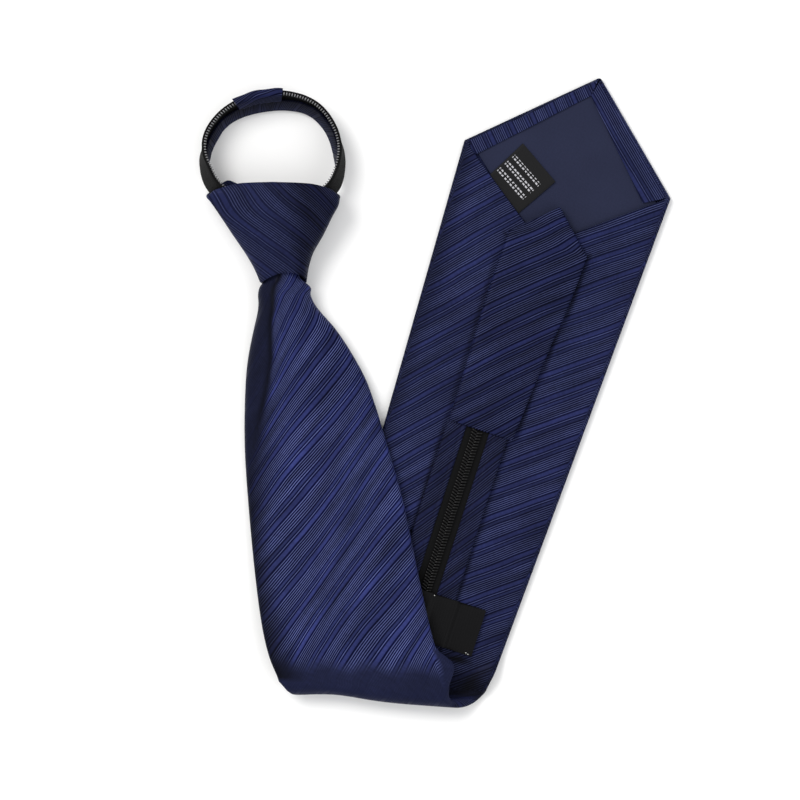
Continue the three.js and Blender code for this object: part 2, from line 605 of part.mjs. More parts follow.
// A ring of the knot, drawn in from its outer face
function knotRing(along, inset) {
  const at = (name) => column(KNOT_SECTIONS, 'along', name, along);
  const half = (KNOT_WIDTH * at('width')) / 2 - inset;
  const deep = (KNOT_DEPTH * at('depth')) / 2 - inset;
  const power = 2 / at('square');
  const centre = (KNOT_DEPTH * at('depth')) / 2;
  const middle = mouthMiddle.x + KNOT_WIDTH * at('shift');
  return Array.from({ length: KNOT_SIDES }, (_, i) => {
    const turn = (i / KNOT_SIDES) * Math.PI * 2;
    const c = Math.cos(turn);
    const s = Math.sin(turn);
    const x = half * Math.sign(c) * Math.abs(c) ** power;
    const z = deep * Math.sign(s) * Math.abs(s) ** power;
    const notch = 1 - THREE.MathUtils.smoothstep(Math.abs(s), NOTCH_START, NOTCH_END);
    const fall = KNOT_RIM_DROP * Math.abs(x / half) ** 6 + KNOT_NOTCH_DROP * notch;
    const drop = fall * (1 - along) ** 2;
    const arch = s > 0 ? KNOT_MOUTH_ARCH * (1 - (x / half) ** 2) * along ** 3 : 0;
    const y = knotTop - KNOT_LENGTH * along - drop + arch;
    return new THREE.Vector3(middle + x, y, centre + z);
  });
}

function knotWrap() {
  const stations = spread(0, 1, KNOT_STEPS);
  const outer = stations.map((along) => knotRing(along, 0));
  const inner = stations.map((along) => knotRing(along, KNOT_WALL));
  return openTube(outer, inner);
}

// A place on the neck band: round the loop, up its width and through its thickness
function loopPlace(angle, up, through) {
  const at = (name) => column(LOOP_STATIONS, 'angle', name, angle);
  const radial = new THREE.Vector3(Math.cos(rad(angle)), Math.sin(rad(angle)), 0);
  const lean = rad(at('lean'));
  const rise = UP.clone().multiplyScalar(Math.cos(lean)).addScaledVector(radial, Math.sin(lean));
  const face = radial.clone().multiplyScalar(Math.cos(lean)).addScaledVector(UP, -Math.sin(lean));
  const foot = (BAND_WALL / 2) * Math.abs(Math.sin(lean)) + KNOT_WALL * at('lift');
  const bandHeight = BAND_WIDTH + NECK_TAPE_WIDTH + COIL_SIZE;
  return loopCentre
    .clone()
    .addScaledVector(radial, LOOP_RADIUS * at('radius') - (bandHeight / 2) * Math.sin(lean))
    .addScaledVector(UP, foot)
    .addScaledVector(rise, up)
    .addScaledVector(face, through);
}

// A bar swept round part of the loop, from its section
function loopBar(from, to, section) {
  const steps = Math.ceil((to - from) / LOOP_STEP);
  const rings = spread(from, to, steps).map((angle) => section.map(([up, through]) =>
    loopPlace(angle, up, through)));
  return loft(rings, section.map(([up, through]) => new THREE.Vector2(up, through)));
}

function box(low, high, near, far) {
  return [[low, near], [high, near], [high, far], [low, far]];
}

const loopStart = LOOP_STATIONS[0].angle;
const loopEnd = LOOP_STATIONS[LOOP_STATIONS.length - 1].angle;
const tapeFoot = BAND_WIDTH + CLEAR;
const tapeTop = tapeFoot + NECK_TAPE_WIDTH;
const coilFoot = tapeTop + CLEAR;
const meetGap = THREE.MathUtils.radToDeg(CLEAR / LOOP_RADIUS); // degrees

function neckTape(from, to) {
  return loopBar(from, to, box(tapeFoot, tapeTop, -NECK_TAPE_WALL / 2, NECK_TAPE_WALL / 2));
}

function neckCoil(from, to) {
  const half = COIL_SIZE / 2;
  const section = Array.from({ length: COIL_SIDES }, (_, i) => {
    const turn = (i / COIL_SIDES) * Math.PI * 2;
    return [coilFoot + half + half * Math.cos(turn), half * Math.sin(turn)];
  });
  return loopBar(from, to, section);
}

// The sleeve hugs both tapes, open along its foot
function loopSleeve() {
  const inner = Math.max(NECK_TAPE_WALL, COIL_SIZE) / 2 + CLEAR;
  const outer = inner + SLEEVE_WALL;
  const foot = tapeFoot + CLEAR;
  const roof = coilFoot + COIL_SIZE + CLEAR;
  const section = [
    [foot, inner],
    [roof, inner],
    [roof, -inner],
    [foot, -inner],
    [foot, -outer],
    [roof + SLEEVE_WALL, -outer],
    [roof + SLEEVE_WALL, outer],
    [foot, outer],
  ];
  return loopBar(SLEEVE_MIDDLE - SLEEVE_SPAN / 2, SLEEVE_MIDDLE + SLEEVE_SPAN / 2, section);
}

// The slider joins the loop's zips to the chain, out of sight inside the knot
function zipSlider() {
  const shape = new THREE.Shape();
  const half = SLIDER_WIDTH / 2;
  shape.moveTo(-half * SLIDER_NOSE, 0);
  shape.lineTo(half * SLIDER_NOSE, 0);
  shape.lineTo(half, SLIDER_LENGTH);
  shape.lineTo(-half, SLIDER_LENGTH);
  return new THREE.ExtrudeGeometry(shape, { depth: SLIDER_DEPTH, bevelEnabled: false });
}

const navy = { color: 0x23274f, roughness: 0.55, metalness: 0 };
const black = { color: 0x222420, roughness: 0.7, metalness: 0 };
const satin = { color: 0x1b1b1c, roughness: 0.45, metalness: 0 };
const slate = { color: 0x2f3348, roughness: 0.85, metalness: 0 };
const nylon = { color: 0x17181a, roughness: 0.35, metalness: 0 };

const tie = new THREE.Group();

function addPiece(name, geometry, look) {
  const mesh = new THREE.Mesh(geometry, new THREE.MeshStandardMaterial(look));
  mesh.name = name;
  tie.add(mesh);
  return mesh;
}

addPiece('front_blade', frontBlade(), navy);
addPiece('tip_lining', tipLining(), slate);
addPiece('care_label', careLabel(), satin);
addPiece('keeper_loop', keeperLoop(), satin);
addPiece('tail_blade', tailBlade(), navy);
addPiece('strip_cloth_left', stripCloth(-1), navy);
addPiece('strip_cloth_right', stripCloth(1), navy);
addPiece('zip_tape_left', zipTape(-1), black);
addPiece('zip_tape_right', zipTape(1), black);
addPiece('zip_chain', zipChain(), nylon);
addPiece('knot_wrap', knotWrap(), navy);
addPiece('neck_band', loopBar(loopStart, loopEnd, box(0, BAND_WIDTH, -BAND_WALL / 2, BAND_WALL / 2)), navy);
addPiece('neck_tape_right', neckTape(loopStart, SLEEVE_MIDDLE - meetGap), black);
addPiece('neck_tape_left', neckTape(SLEEVE_MIDDLE + meetGap, loopEnd), black);
addPiece('neck_coil_right', neckCoil(loopStart, SLEEVE_MIDDLE - meetGap), nylon);
addPiece('neck_coil_left', neckCoil(SLEEVE_MIDDLE + meetGap, loopEnd), nylon);
addPiece('loop_sleeve', loopSleeve(), navy);
const slider = addPiece('zip_slider', zipSlider(), nylon);
slider.position.set(mouthMiddle.x, mouthMiddle.y + KNOT_LENGTH * SLIDER_PLACE, KNOT_WALL + CLEAR);

// Centre the tie over the origin
tie.updateMatrixWorld(true);
const reach = new THREE.Box3().setFromObject(tie, true);
const middle = reach.getCenter(new THREE.Vector3());
tie.position.set(-middle.x, -middle.y, -reach.min.z);
tie.updateMatrixWorld(true);

export default tie;
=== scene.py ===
"""A ready-made zipper tie, folded once and lying on a table.

Metres, X to the right, Y away from the viewer, Z up. The origin is on the table under the
middle of the tie. Lengths in the tables and in the cloth functions are in millimetres.
"""
import math

import bmesh
import bpy
import numpy as np
from bpy.props import FloatProperty, FloatVectorProperty, IntProperty, PointerProperty
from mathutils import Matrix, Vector


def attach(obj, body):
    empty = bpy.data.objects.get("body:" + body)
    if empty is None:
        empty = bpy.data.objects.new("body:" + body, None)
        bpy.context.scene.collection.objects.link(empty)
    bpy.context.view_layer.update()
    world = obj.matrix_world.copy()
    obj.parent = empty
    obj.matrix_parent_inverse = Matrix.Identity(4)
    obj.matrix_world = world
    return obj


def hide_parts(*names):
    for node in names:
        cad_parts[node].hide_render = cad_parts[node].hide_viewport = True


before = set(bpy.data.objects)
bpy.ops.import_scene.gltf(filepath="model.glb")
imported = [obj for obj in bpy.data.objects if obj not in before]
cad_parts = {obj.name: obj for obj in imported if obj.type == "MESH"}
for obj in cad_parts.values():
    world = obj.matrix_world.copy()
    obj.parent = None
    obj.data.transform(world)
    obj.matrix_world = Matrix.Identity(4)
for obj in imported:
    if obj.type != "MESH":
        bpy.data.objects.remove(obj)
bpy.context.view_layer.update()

bl_info = {
    "name": "Zipper tie",
    "version": (1, 0, 0),
    "blender": (4, 5, 0),
    "location": "View3D > Sidebar > Tie",
    "description": "Dresses the frame of a folded zipper tie with cloth, zip and stitching",
    "category": "Add Mesh",
}

MM = 0.001

# Places of the layout, as on the frame, in millimetres
FOLD_PLACE = np.array([-29.538, -116.532, 0.0])  # the middle of the fold
FRONT_LENGTH = 164.0  # from the knot's mouth to the fold
BACK_LENGTH = 218.0  # from the fold to the corners of the tip
TIP_LENGTH = 37.4  # from the corners to the point
BLADE_HALF = 42.8  # half the width across the corners
FRONT_LEAN, BACK_LEAN, TIP_LEAN, FOLD_LEAN = (math.radians(a) for a in (11.4, 18.0, 16.8, -2.7))
FOLD_WIDTH = 71.0
FOLD_RADII = (5.8, 7.3)  # the roll of the fold at its left and right end
FOLD_SHIFTS = (14.0, 16.0)  # how far the left and right edge move along the fold as they turn
FOLD_ROLL = 6.55  # the mean radius of the roll
FOLD_ROUND = 20.5  # about the length of cloth round it
OPENING_DEPTH = 32.6  # from the tip's corners down to the V where the flaps part
SEAM_HALF = 0.25  # from the back seam's middle to a flap
BLADE_DEPTH = 3.5
TIP_DEPTH = 2.6
STRIP_SHIFT = -2.0  # the strip's middle from the back half's axis
STRIP_WIDTH = 25.0
STRIP_KNOT_WIDTH = 11.4
TAIL_START = 107.4  # from the fold to the tail's seam
TAIL_STRAIGHT = 78.8  # from its seam to the corners of its point
TAIL_POINT = 15.8
KEEPER_HALF, KEEPER_START, KEEPER_LENGTH = 25.5, 20.2, 19.4
KNOT_LENGTH = 39.9
LOOP_CENTRE = np.array([-64.76, 94.23, 0.0])
LOOP_START, LOOP_END, LOOP_MIDDLE = -62, 242, 104  # degrees round the neck loop

# Where the cloth goes a little past the frame's corners and point
LEFT_CORNER_DROP = 1.5
TIP_PAST, TIP_ASIDE = 0.9, 1.9

# The front, at shares of its length: its edges as shares of the fold's width, and its top, tilt and
# drops as shares of the fold's height
FRONT_COLUMNS = ("along", "left", "right", "top", "tilt", "drop_left", "drop_right", "depth", "roll", "pleat")
FRONT_SECTIONS = [
    (-0.045, 0.075, 0.100, 1.00, 0.0, 0.20, 0.20, 1.80, 0.3, 0.0),
    (-0.010, 0.084, 0.118, 1.01, 0.0, 0.24, 0.24, 1.90, 0.4, 0.2),
    (0.011, 0.124, 0.163, 1.05, 0.0, 0.40, 0.40, 2.00, 0.6, 0.6),
    (0.030, 0.142, 0.154, 1.09, 0.0, 0.48, 0.46, 2.00, 0.8, 0.9),
    (0.052, 0.150, 0.164, 1.10, 0.0, 0.55, 0.50, 2.00, 0.9, 1.0),
    (0.076, 0.166, 0.193, 1.10, 0.0, 0.60, 0.50, 1.95, 1.0, 1.0),
    (0.118, 0.207, 0.256, 1.07, 0.0, 0.66, 0.45, 1.80, 1.0, 1.0),
    (0.188, 0.270, 0.328, 0.98, 0.0, 0.65, 0.40, 1.50, 1.0, 0.8),
    (0.257, 0.317, 0.376, 0.88, 0.0, 0.58, 0.34, 1.25, 1.0, 0.5),
    (0.396, 0.386, 0.414, 0.76, 0.0, 0.46, 0.22, 1.05, 0.8, 0.15),
    (0.535, 0.432, 0.441, 0.76, 0.2, 0.42, 0.10, 1.00, 0.5, 0.0),
    (0.744, 0.483, 0.446, 0.92, 0.5, 0.36, 0.10, 1.00, 0.2, 0.0),
    (0.883, 0.501, 0.456, 1.02, 0.8, 0.20, 0.05, 1.00, 0.0, 0.0),
    (1.000, 0.487, 0.487, 1.00, 1.0, 0.00, 0.00, 1.00, 0.0, 0.0),
]

# The knot, at shares of its length from the top: width, shift to the right and depth in millimetres
KNOT_COLUMNS = ("along", "width", "shift", "depth", "square")
KNOT_SECTIONS = [
    (0.00, 51.8, -3.1, 19.4, 5.6),
    (0.03, 53.3, -2.9, 20.1, 5.5),
    (0.06, 52.4, -2.6, 20.4, 5.4),
    (0.15, 49.8, -1.9, 20.4, 4.6),
    (0.30, 44.0, -1.6, 20.2, 3.6),
    (0.50, 36.2, -1.0, 19.4, 2.9),
    (0.70, 27.2, -0.6, 18.2, 2.6),
    (0.85, 22.1, 0.2, 16.9, 2.5),
    (1.00, 18.6, 1.0, 15.7, 2.5),
]

# The neck loop, by degrees from +X: radius, lean outwards in degrees and lift off the table
LOOP_COLUMNS = ("angle", "radius", "lean", "lift")
LOOP_STATIONS = [
    (-62, 23.5, -24.0, 3.5), (-46, 24.7, -22.0, 3.7), (-34, 25.8, -20.0, 3.7), (-25, 26.7, -18.0, 3.4),
    (-10, 26.9, -11.0, 2.4), (5, 27.0, -3.0, 1.3), (14, 26.8, 2.0, 0.8), (30, 26.3, 8.0, 0.3),
    (50, 25.5, 15.0, 0.25), (75, 23.2, 26.0, 0.25), (98, 22.4, 29.0, 0.25), (120, 23.2, 27.0, 0.25),
    (145, 25.4, 20.5, 0.3), (163, 26.9, 14.0, 0.8), (177, 28.1, -4.0, 1.4), (190, 27.5, -16.0, 2.4),
    (202, 27.0, -21.0, 3.0), (213, 26.0, -23.5, 3.7), (226, 24.6, -25.0, 3.7), (242, 23.8, -25.0, 3.4),
]

# The tail, at shares of its straight part: its reach to both sides of the axis, and its creases
TAIL_COLUMNS = ("along", "left", "right", "crease")
TAIL_SECTIONS = [
    (0.00, 14.3, 12.6, 0.00), (0.12, 14.4, 13.2, 0.30), (0.22, 14.5, 13.7, 0.00), (0.34, 14.7, 14.4, 0.35),
    (0.48, 15.0, 15.2, 0.00), (0.67, 15.2, 16.8, 0.15), (0.84, 15.2, 17.8, 0.00), (1.00, 14.8, 18.2, 0.00),
]

# One repeat of the stripes: where each yarn starts and ends, in millimetres
STRIPE_REPEAT = 9.2
STRIPES = [
    (0.00, 1.55, "satin"),
    (2.15, 2.53, "pin"), (2.95, 3.33, "pin"), (3.75, 4.13, "pin"), (4.55, 4.93, "pin"),
    (5.35, 5.73, "pin"), (6.15, 6.53, "pin"),
    (7.00, 7.95, "plain"), (8.36, 8.74, "pin"),
]
STRIPE_ANGLE = math.radians(42.5)  # the stripes on the cut blade, from straight across


# Sizes and colours that a user would change
def colour(name, description, default):
    return FloatVectorProperty(name=name, description=description, default=default, subtype="COLOR", size=3,
                               min=0, max=1)


def length(name, description, default, least, most):
    return FloatProperty(name=name, description=description, default=default, min=least, max=most,
                         subtype="DISTANCE", unit="LENGTH")


class ClothSettings(bpy.types.PropertyGroup):
    satin: colour("Satin stripe", "Colour of the wide bright stripe", (0.0225, 0.0290, 0.114))
    pin: colour("Pinstripe", "Colour of the thin pale stripes", (0.076, 0.092, 0.222))
    plain: colour("Plain stripe", "Colour of the grey-blue stripe", (0.0200, 0.0260, 0.092))
    groove: colour("Groove", "Colour between the stripes", (0.0004, 0.0014, 0.0250))
    wall: length("Cloth wall", "Thickness of the cloth and its backing", 0.0009, 0.0003, 0.0012)
    roughness: FloatProperty(name="Roughness", description="How matt the cloth is", default=0.5,
                             min=0, max=1, subtype="FACTOR")


class ZipSettings(bpy.types.PropertyGroup):
    pitch: length("Pitch", "From one tooth of a row to the next", 0.0012, 0.0008, 0.003)
    chain_width: length("Chain width", "Across both rows of closed teeth", 0.0046, 0.003, 0.008)
    tooth_steps: IntProperty(name="Bevel steps", description="Steps on the edges of a tooth", default=1,
                             min=1, max=3)


class StageSettings(bpy.types.PropertyGroup):
    distance: length("Camera height", "From the camera to the table", 2.4, 0.5, 10)
    span: length("Picture width", "How much of the table the picture spans", 0.32, 0.1, 1)
    light: FloatProperty(name="Key light", description="Power of the main light", default=21.0, min=0,
                         unit="POWER")


# Tables and places
def row_at(rows, names, at):
    """The columns of a table at any place, on smooth curves through its rows."""
    table = np.array(rows, float)
    key, last = table[:, 0], len(table) - 1
    i = int(np.clip(np.searchsorted(key, at) - 1, 0, last - 1))
    low, high = np.maximum(np.arange(last + 1) - 1, 0), np.minimum(np.arange(last + 1) + 1, last)
    slope = (table[high] - table[low]) / (key[high] - key[low])[:, None]
    span = key[i + 1] - key[i]
    t = np.clip((at - key[i]) / span, 0, 1)
    bend = t * t * (3 - 2 * t)
    start = slope[i] * span * t * (1 - t) ** 2
    end = slope[i + 1] * span * t * t * (1 - t)
    return dict(zip(names, (table[i] + (table[i + 1] - table[i]) * bend + start - end).tolist()))


def way(angle, up=True):
    """A direction on the table, at an angle from +Y towards +X, or from -Y."""
    return np.array([math.sin(angle), math.cos(angle) * (1 if up else -1), 0.0])


def smooth(x, low, high):
    """A soft step from nought to one between two values."""
    t = np.clip((x - low) / (high - low), 0, 1)
    return t * t * (3 - 2 * t)


def unit(vector):
    return vector / np.linalg.norm(vector)


FRONT_WAY = way(FRONT_LEAN, up=False)
BACK_WAY, TIP_WAY = way(BACK_LEAN), way(TIP_LEAN)
BACK_SIDE = np.array([BACK_WAY[1], -BACK_WAY[0], 0.0])
TIP_SIDE = np.array([TIP_WAY[1], -TIP_WAY[0], 0.0])
FOLD_WAY = np.array([math.cos(FOLD_LEAN), math.sin(FOLD_LEAN), 0.0])
FOLD_OUT = np.array([FOLD_WAY[1], -FOLD_WAY[0], 0.0])
UP = np.array([0.0, 0.0, 1.0])
MOUTH = FOLD_PLACE - FRONT_WAY * FRONT_LENGTH
FOLD_HALF = FOLD_WIDTH * FRONT_SECTIONS[-1][1]
FOLD_HEIGHT = sum(FOLD_RADII)
TURNED = [FOLD_PLACE + FOLD_WAY * (shift + side * FOLD_HALF)
          for side, shift in zip((-1, 1), FOLD_SHIFTS)]
TURNED_MIDDLE = (TURNED[0] + TURNED[1]) / 2
CORNER_MIDDLE = TURNED_MIDDLE + BACK_WAY * BACK_LENGTH
CORNERS = [CORNER_MIDDLE - TIP_SIDE * BLADE_HALF - BACK_WAY * LEFT_CORNER_DROP,
           CORNER_MIDDLE + TIP_SIDE * BLADE_HALF]
TIP_POINT = CORNER_MIDDLE + TIP_WAY * (TIP_LENGTH + TIP_PAST) + TIP_SIDE * TIP_ASIDE


def back_place(u, v, up):
    """A place on the back half: across and along its axis from the fold, and up."""
    u, v, up = np.broadcast_arrays(np.asarray(u, float), v, up)
    return TURNED_MIDDLE + u[..., None] * BACK_SIDE + v[..., None] * BACK_WAY + up[..., None] * UP


def back_frame(points):
    """How far points lie across and along the back half's axis."""
    rest = np.asarray(points) - TURNED_MIDDLE
    return rest @ BACK_SIDE, rest @ BACK_WAY


def mirrored(u, v, a, b):
    """Where cloth folded over the line a to b was before it was folded."""
    line = unit(np.array([b[0] - a[0], b[1] - a[1]]))
    du, dv = u - a[0], v - a[1]
    along = du * line[0] + dv * line[1]
    return a[0] + 2 * along * line[0] - du, a[1] + 2 * along * line[1] - dv


def striped(x, s, angle=STRIPE_ANGLE):
    """Along and across the stripes, from a place on the flat cloth seen from its front."""
    return x * math.cos(angle) - s * math.sin(angle), x * math.sin(angle) + s * math.cos(angle)


# Meshes
def finish_mesh(name, points, faces, uv, tone=None, material=None, angle=40):
    """A mesh object with an outward surface, a cloth UV map in metres, and attributes of painted light and
    shade and of painted sheen.
    """
    points = np.asarray(points, float)
    mesh = bpy.data.meshes.new(name)
    mesh.from_pydata((points * MM).tolist(), [], [tuple(f) for f in faces])
    mesh.update()
    bm = bmesh.new()
    bm.from_mesh(mesh)
    if bm.calc_volume(signed=True) < 0:
        bmesh.ops.reverse_faces(bm, faces=bm.faces)
    bm.to_mesh(mesh)
    bm.free()
    layer = mesh.uv_layers.new(name="cloth")
    corners = np.empty(len(mesh.loops), np.int32)
    mesh.loops.foreach_get("vertex_index", corners)
    layer.data.foreach_set("uv", (np.asarray(uv, float)[corners] * MM).astype(np.float32).ravel())
    # Painted light and shade, and painted sheen (how far the stripes show), for each point
    light = np.ones((len(points), 2)) if tone is None else np.asarray(tone, float).reshape(-1, 2)
    for name_of, values in zip(("tone", "catch"), light.T):
        mesh.attributes.new(name_of, "FLOAT", "POINT").data.foreach_set("value", values.astype(np.float32))
    mesh.materials.append(material)
    piece = bpy.data.objects.new(name, mesh)
    bpy.context.collection.objects.link(piece)
    only(piece)
    bpy.ops.object.shade_smooth_by_angle(angle=math.radians(angle))
    return piece


def only(*pieces):
    """These pieces are selected and nothing else."""
    if bpy.context.object and bpy.context.object.mode != "OBJECT":
        bpy.ops.object.mode_set(mode="OBJECT")
    bpy.ops.object.select_all(action="DESELECT")
    for piece in pieces:
        piece.select_set(True)
    bpy.context.view_layer.objects.active = pieces[0]


def tube(name, rings, uv, material, tone=None, angle=40, closed=False):
    """A closed body through rings of points, with flat ends, or a ring of rings."""
    rings = np.asarray(rings, float)
    count, size = rings.shape[:2]
    faces = []
    for r in range(count if closed else count - 1):
        a, b = r * size, (r + 1) % count * size
        faces += [(a + i, a + (i + 1) % size, b + (i + 1) % size, b + i) for i in range(size)]
    if not closed:
        faces.append(tuple(range(size))[::-1])
        faces.append(tuple((count - 1) * size + i for i in range(size)))
    places = np.asarray(uv).reshape(-1, 2)
    return finish_mesh(name, rings.reshape(-1, 3), faces, places, tone, material, angle)


def rounded(width, depth, edge=5, face=8):
    """A flat section with round edges: across and up, from its lower left, anticlockwise."""
    r = depth / 2
    turn = np.linspace(-math.pi / 2, math.pi / 2, edge + 1)
    right = [(width / 2 - r + r * math.cos(a), r + r * math.sin(a)) for a in turn]
    left = [(-x, depth - y) for x, y in right]
    low = [(x, 0.0) for x in np.linspace(-width / 2 + r, width / 2 - r, face + 1)[1:-1]]
    high = [(-x, depth) for x, _ in low]
    return np.array(low + right + high + left)


def even_light(rings, tone, catch):
    """The same painted light and shade and the same painted sheen for every point of some rings."""
    return np.broadcast_to([tone, catch], np.shape(rings)[:2] + (2,))


def dress(piece, body, nodes):
    """A piece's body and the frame's nodes that it stands for."""
    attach(piece, body)
    if nodes:
        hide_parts(*nodes)
    return piece


# Materials
class Signal:
    """A shader value whose operators add their own Math nodes."""

    def __init__(self, finish, socket):
        self.finish, self.socket = finish, socket

    def _math(self, operation, *values):
        return self.finish.node("ShaderNodeMath", {"operation": operation}, dict(enumerate(values)))

    def __add__(self, other):
        return self._math("ADD", self, other)

    __radd__ = __add__

    def __sub__(self, other):
        return self._math("SUBTRACT", self, other)

    def __rsub__(self, other):
        return self._math("SUBTRACT", other, self)

    def __mul__(self, other):
        return self._math("MULTIPLY", self, other)

    def __truediv__(self, other):
        return self._math("DIVIDE", self, other)

    def fract(self):
        return self._math("FRACT", self)

    def above(self, low):
        return self._math("GREATER_THAN", self, low)

    def below(self, high):
        return self._math("LESS_THAN", self, high)

    def threads(self, pitch):
        """Soft ridges, from nought to one, a pitch apart."""
        return self._math("SINE", self * (2 * math.pi / pitch)) * 0.5 + 0.5

    def limit(self):
        return self.finish.node("ShaderNodeClamp", {}, {"Value": self})


class Finish:
    """One material and the nodes that it is made of."""

    def __init__(self, name, **constants):
        self.material = bpy.data.materials.new(name)
        self.material.use_nodes = True
        self.tree = self.material.node_tree
        self.shader = self.tree.nodes["Principled BSDF"]
        for socket, value in constants.items():
            self.shader.inputs[socket.replace("_", " ")].default_value = value

    def plug(self, socket, value):
        if isinstance(value, Signal):
            self.tree.links.new(value.socket, socket)
        else:
            socket.default_value = value

    def node(self, kind, settings, sockets, output=0):
        made = self.tree.nodes.new(kind)
        for key, value in settings.items():
            if key == "stops":
                ramp = made.color_ramp
                while len(ramp.elements) > 1:
                    ramp.elements.remove(ramp.elements[-1])
                for n, (place, colour) in enumerate(value):
                    stop = ramp.elements[0] if n == 0 else ramp.elements.new(place)
                    stop.position, stop.color = place, colour
            else:
                setattr(made, key, value)
        for key, value in sockets.items():
            self.plug(made.inputs[key], value)
        return Signal(self, made.outputs[output])

    def cloth(self):
        """Along and across the yarns, in metres, from the piece's own UV map."""
        place = self.node("ShaderNodeUVMap", {"uv_map": "cloth"}, {})
        return (place, *(self.node("ShaderNodeSeparateXYZ", {}, {0: place}, n) for n in (0, 1)))

    def attribute(self, name):
        return self.node("ShaderNodeAttribute", {"attribute_name": name}, {}, "Fac")

    def noise(self, place, scale, detail=2.0, stretch=None):
        if stretch:
            place = self.node("ShaderNodeMapping", {}, {"Vector": place, "Scale": stretch})
        return self.node("ShaderNodeTexNoise", {}, {"Vector": place, "Scale": scale, "Detail": detail}, "Fac")

    def band(self, value, low, high):
        """One between two values and nought elsewhere."""
        return value.above(low) * value.below(high)

    def mix(self, factor, a, b, blend="MIX"):
        settings = {"data_type": "RGBA", "blend_type": blend}
        return self.node("ShaderNodeMix", settings, {0: factor, 6: a, 7: b}, 2)

    def dimmed(self, tint, value):
        """A colour times a grey value and the painted light and shade stored on the mesh."""
        value = value * self.attribute("tone")
        grey = self.node("ShaderNodeCombineColor", {}, {0: value, 1: value, 2: value})
        return self.mix(1.0, tint, grey, "MULTIPLY")

    def bump(self, height, distance, strength=1.0):
        return self.node("ShaderNodeBump", {}, {"Height": height, "Distance": distance, "Strength": strength},
                         "Normal")

    def surface(self, **links):
        for socket, value in links.items():
            self.plug(self.shader.inputs[socket.replace("_", " ")], value)
        return self.material


FINISHES = {}


def four(colour, share=1.0):
    return (*(part * share for part in colour), 1.0)


def ramp_parts(finish, repeat, stops):
    """A long list of ramp stops, shared between two ramps, because one holds 32."""
    half = len(stops) // 2
    low, high = (finish.node("ShaderNodeValToRGB", {"stops": part}, {"Fac": repeat}, "Color")
                 for part in (stops[:half], stops[half:]))
    edge = (stops[half - 1][0] + stops[half][0]) / 2
    return finish.mix(repeat.above(edge), low, high)


YARN_HEIGHTS = {"satin": 1.0, "pin": 0.55, "plain": 0.7}
YARN_SHARES = {"satin": 0.20, "pin": 0.26, "plain": 0.12, "groove": 0.42}
YARN_EDGE = 0.12  # the soft edge of a stripe, in millimetres
RIB_PITCH = 0.00055


def stripe_material(name):
    """The tie's striped cloth, with its pinstripes, cross ribs and slightly uneven yarn, under painted sheen
    and painted shade.
    """
    sizes = bpy.context.scene.tie_cloth
    finish = Finish(name, Specular_IOR_Level=0.05, Sheen_Weight=0.02, Sheen_Roughness=0.4,
                    Sheen_Tint=(0.3, 0.4, 1.0, 1))
    place, along, across = finish.cloth()
    wave, wander = finish.noise(place, 16.0, 1.0), finish.noise(place, 70.0, 1.0)
    moved = across + (wave - 0.5) * 0.0030 + (wander - 0.5) * 0.0007
    repeat = (moved / (STRIPE_REPEAT * MM)).fract()
    tones, heights = [], []
    for start, end, yarn in STRIPES:
        for at, on in ((start, 0), (start + YARN_EDGE, 1), (end - YARN_EDGE, 1), (end, 0)):
            tones.append((at / STRIPE_REPEAT, four(getattr(sizes, yarn) if on else sizes.groove)))
            heights.append((at / STRIPE_REPEAT, four((YARN_HEIGHTS[yarn] * on,) * 3)))
    height = finish.node("ShaderNodeRGBToBW", {}, {0: ramp_parts(finish, repeat, heights)})
    even = [sum(getattr(sizes, yarn)[n] * share for yarn, share in YARN_SHARES.items()) for n in range(3)]
    # The painted sheen sets how far the stripes stand out from their even mean colour
    catch = finish.attribute("catch")
    tint = finish.mix(catch, four(even), ramp_parts(finish, repeat, tones))
    ribs = along.threads(RIB_PITCH)
    mottle = finish.noise(place, 900.0, 1.0, stretch=(1.0, 0.35, 1.0))
    slub = finish.noise(place, 1400.0, 2.0)
    streak = finish.noise(place, 300.0, 2.0, stretch=(0.10, 1.0, 1.0))
    cloudy = finish.noise(place, 40.0, 3.0)
    uneven = 1 + (streak - 0.53) * 1.8 * catch
    value = (0.52 + ribs * 0.08 + slub * 0.28 + mottle * 0.48) * uneven * (0.60 + cloudy * 0.80)
    roughness = (sizes.roughness + 0.14) - height * 0.2 + (slub - 0.5) * 0.1
    relief = finish.bump(height * 0.7 + ribs * 0.22 + slub * 0.25, 0.00012, 0.5)
    return finish.surface(Base_Color=finish.dimmed(tint, value), Roughness=roughness, Normal=relief)


def plain_material(name, colour, roughness, thread, relief=0.00006, cross=None):
    """A plain woven or ribbed cloth, with threads across and along."""
    finish = Finish(name, Specular_IOR_Level=0.06)
    place, along, across = finish.cloth()
    warp, weft = across.threads(thread), along.threads(cross or thread)
    slub, cloudy = finish.noise(place, 1100.0), finish.noise(place, 55.0)
    value = (0.70 + warp * 0.16 + weft * 0.14 + slub * 0.2) * (0.88 + cloudy * 0.24)
    relief = finish.bump(warp * 0.5 + weft * 0.5 + slub * 0.4, relief, 0.6)
    return finish.surface(Base_Color=finish.dimmed(four(colour), value), Normal=relief,
                          Roughness=roughness + (slub - 0.5) * 0.12)


# The label's dashes, in metres: their pitch down and along, and the rows and span that they fill
LINE_PITCH, LETTER_PITCH = 0.0040, 0.0016
PRINT_ROWS, PRINT_SPAN = (0.0048, 0.0164), (0.0016, 0.0172)


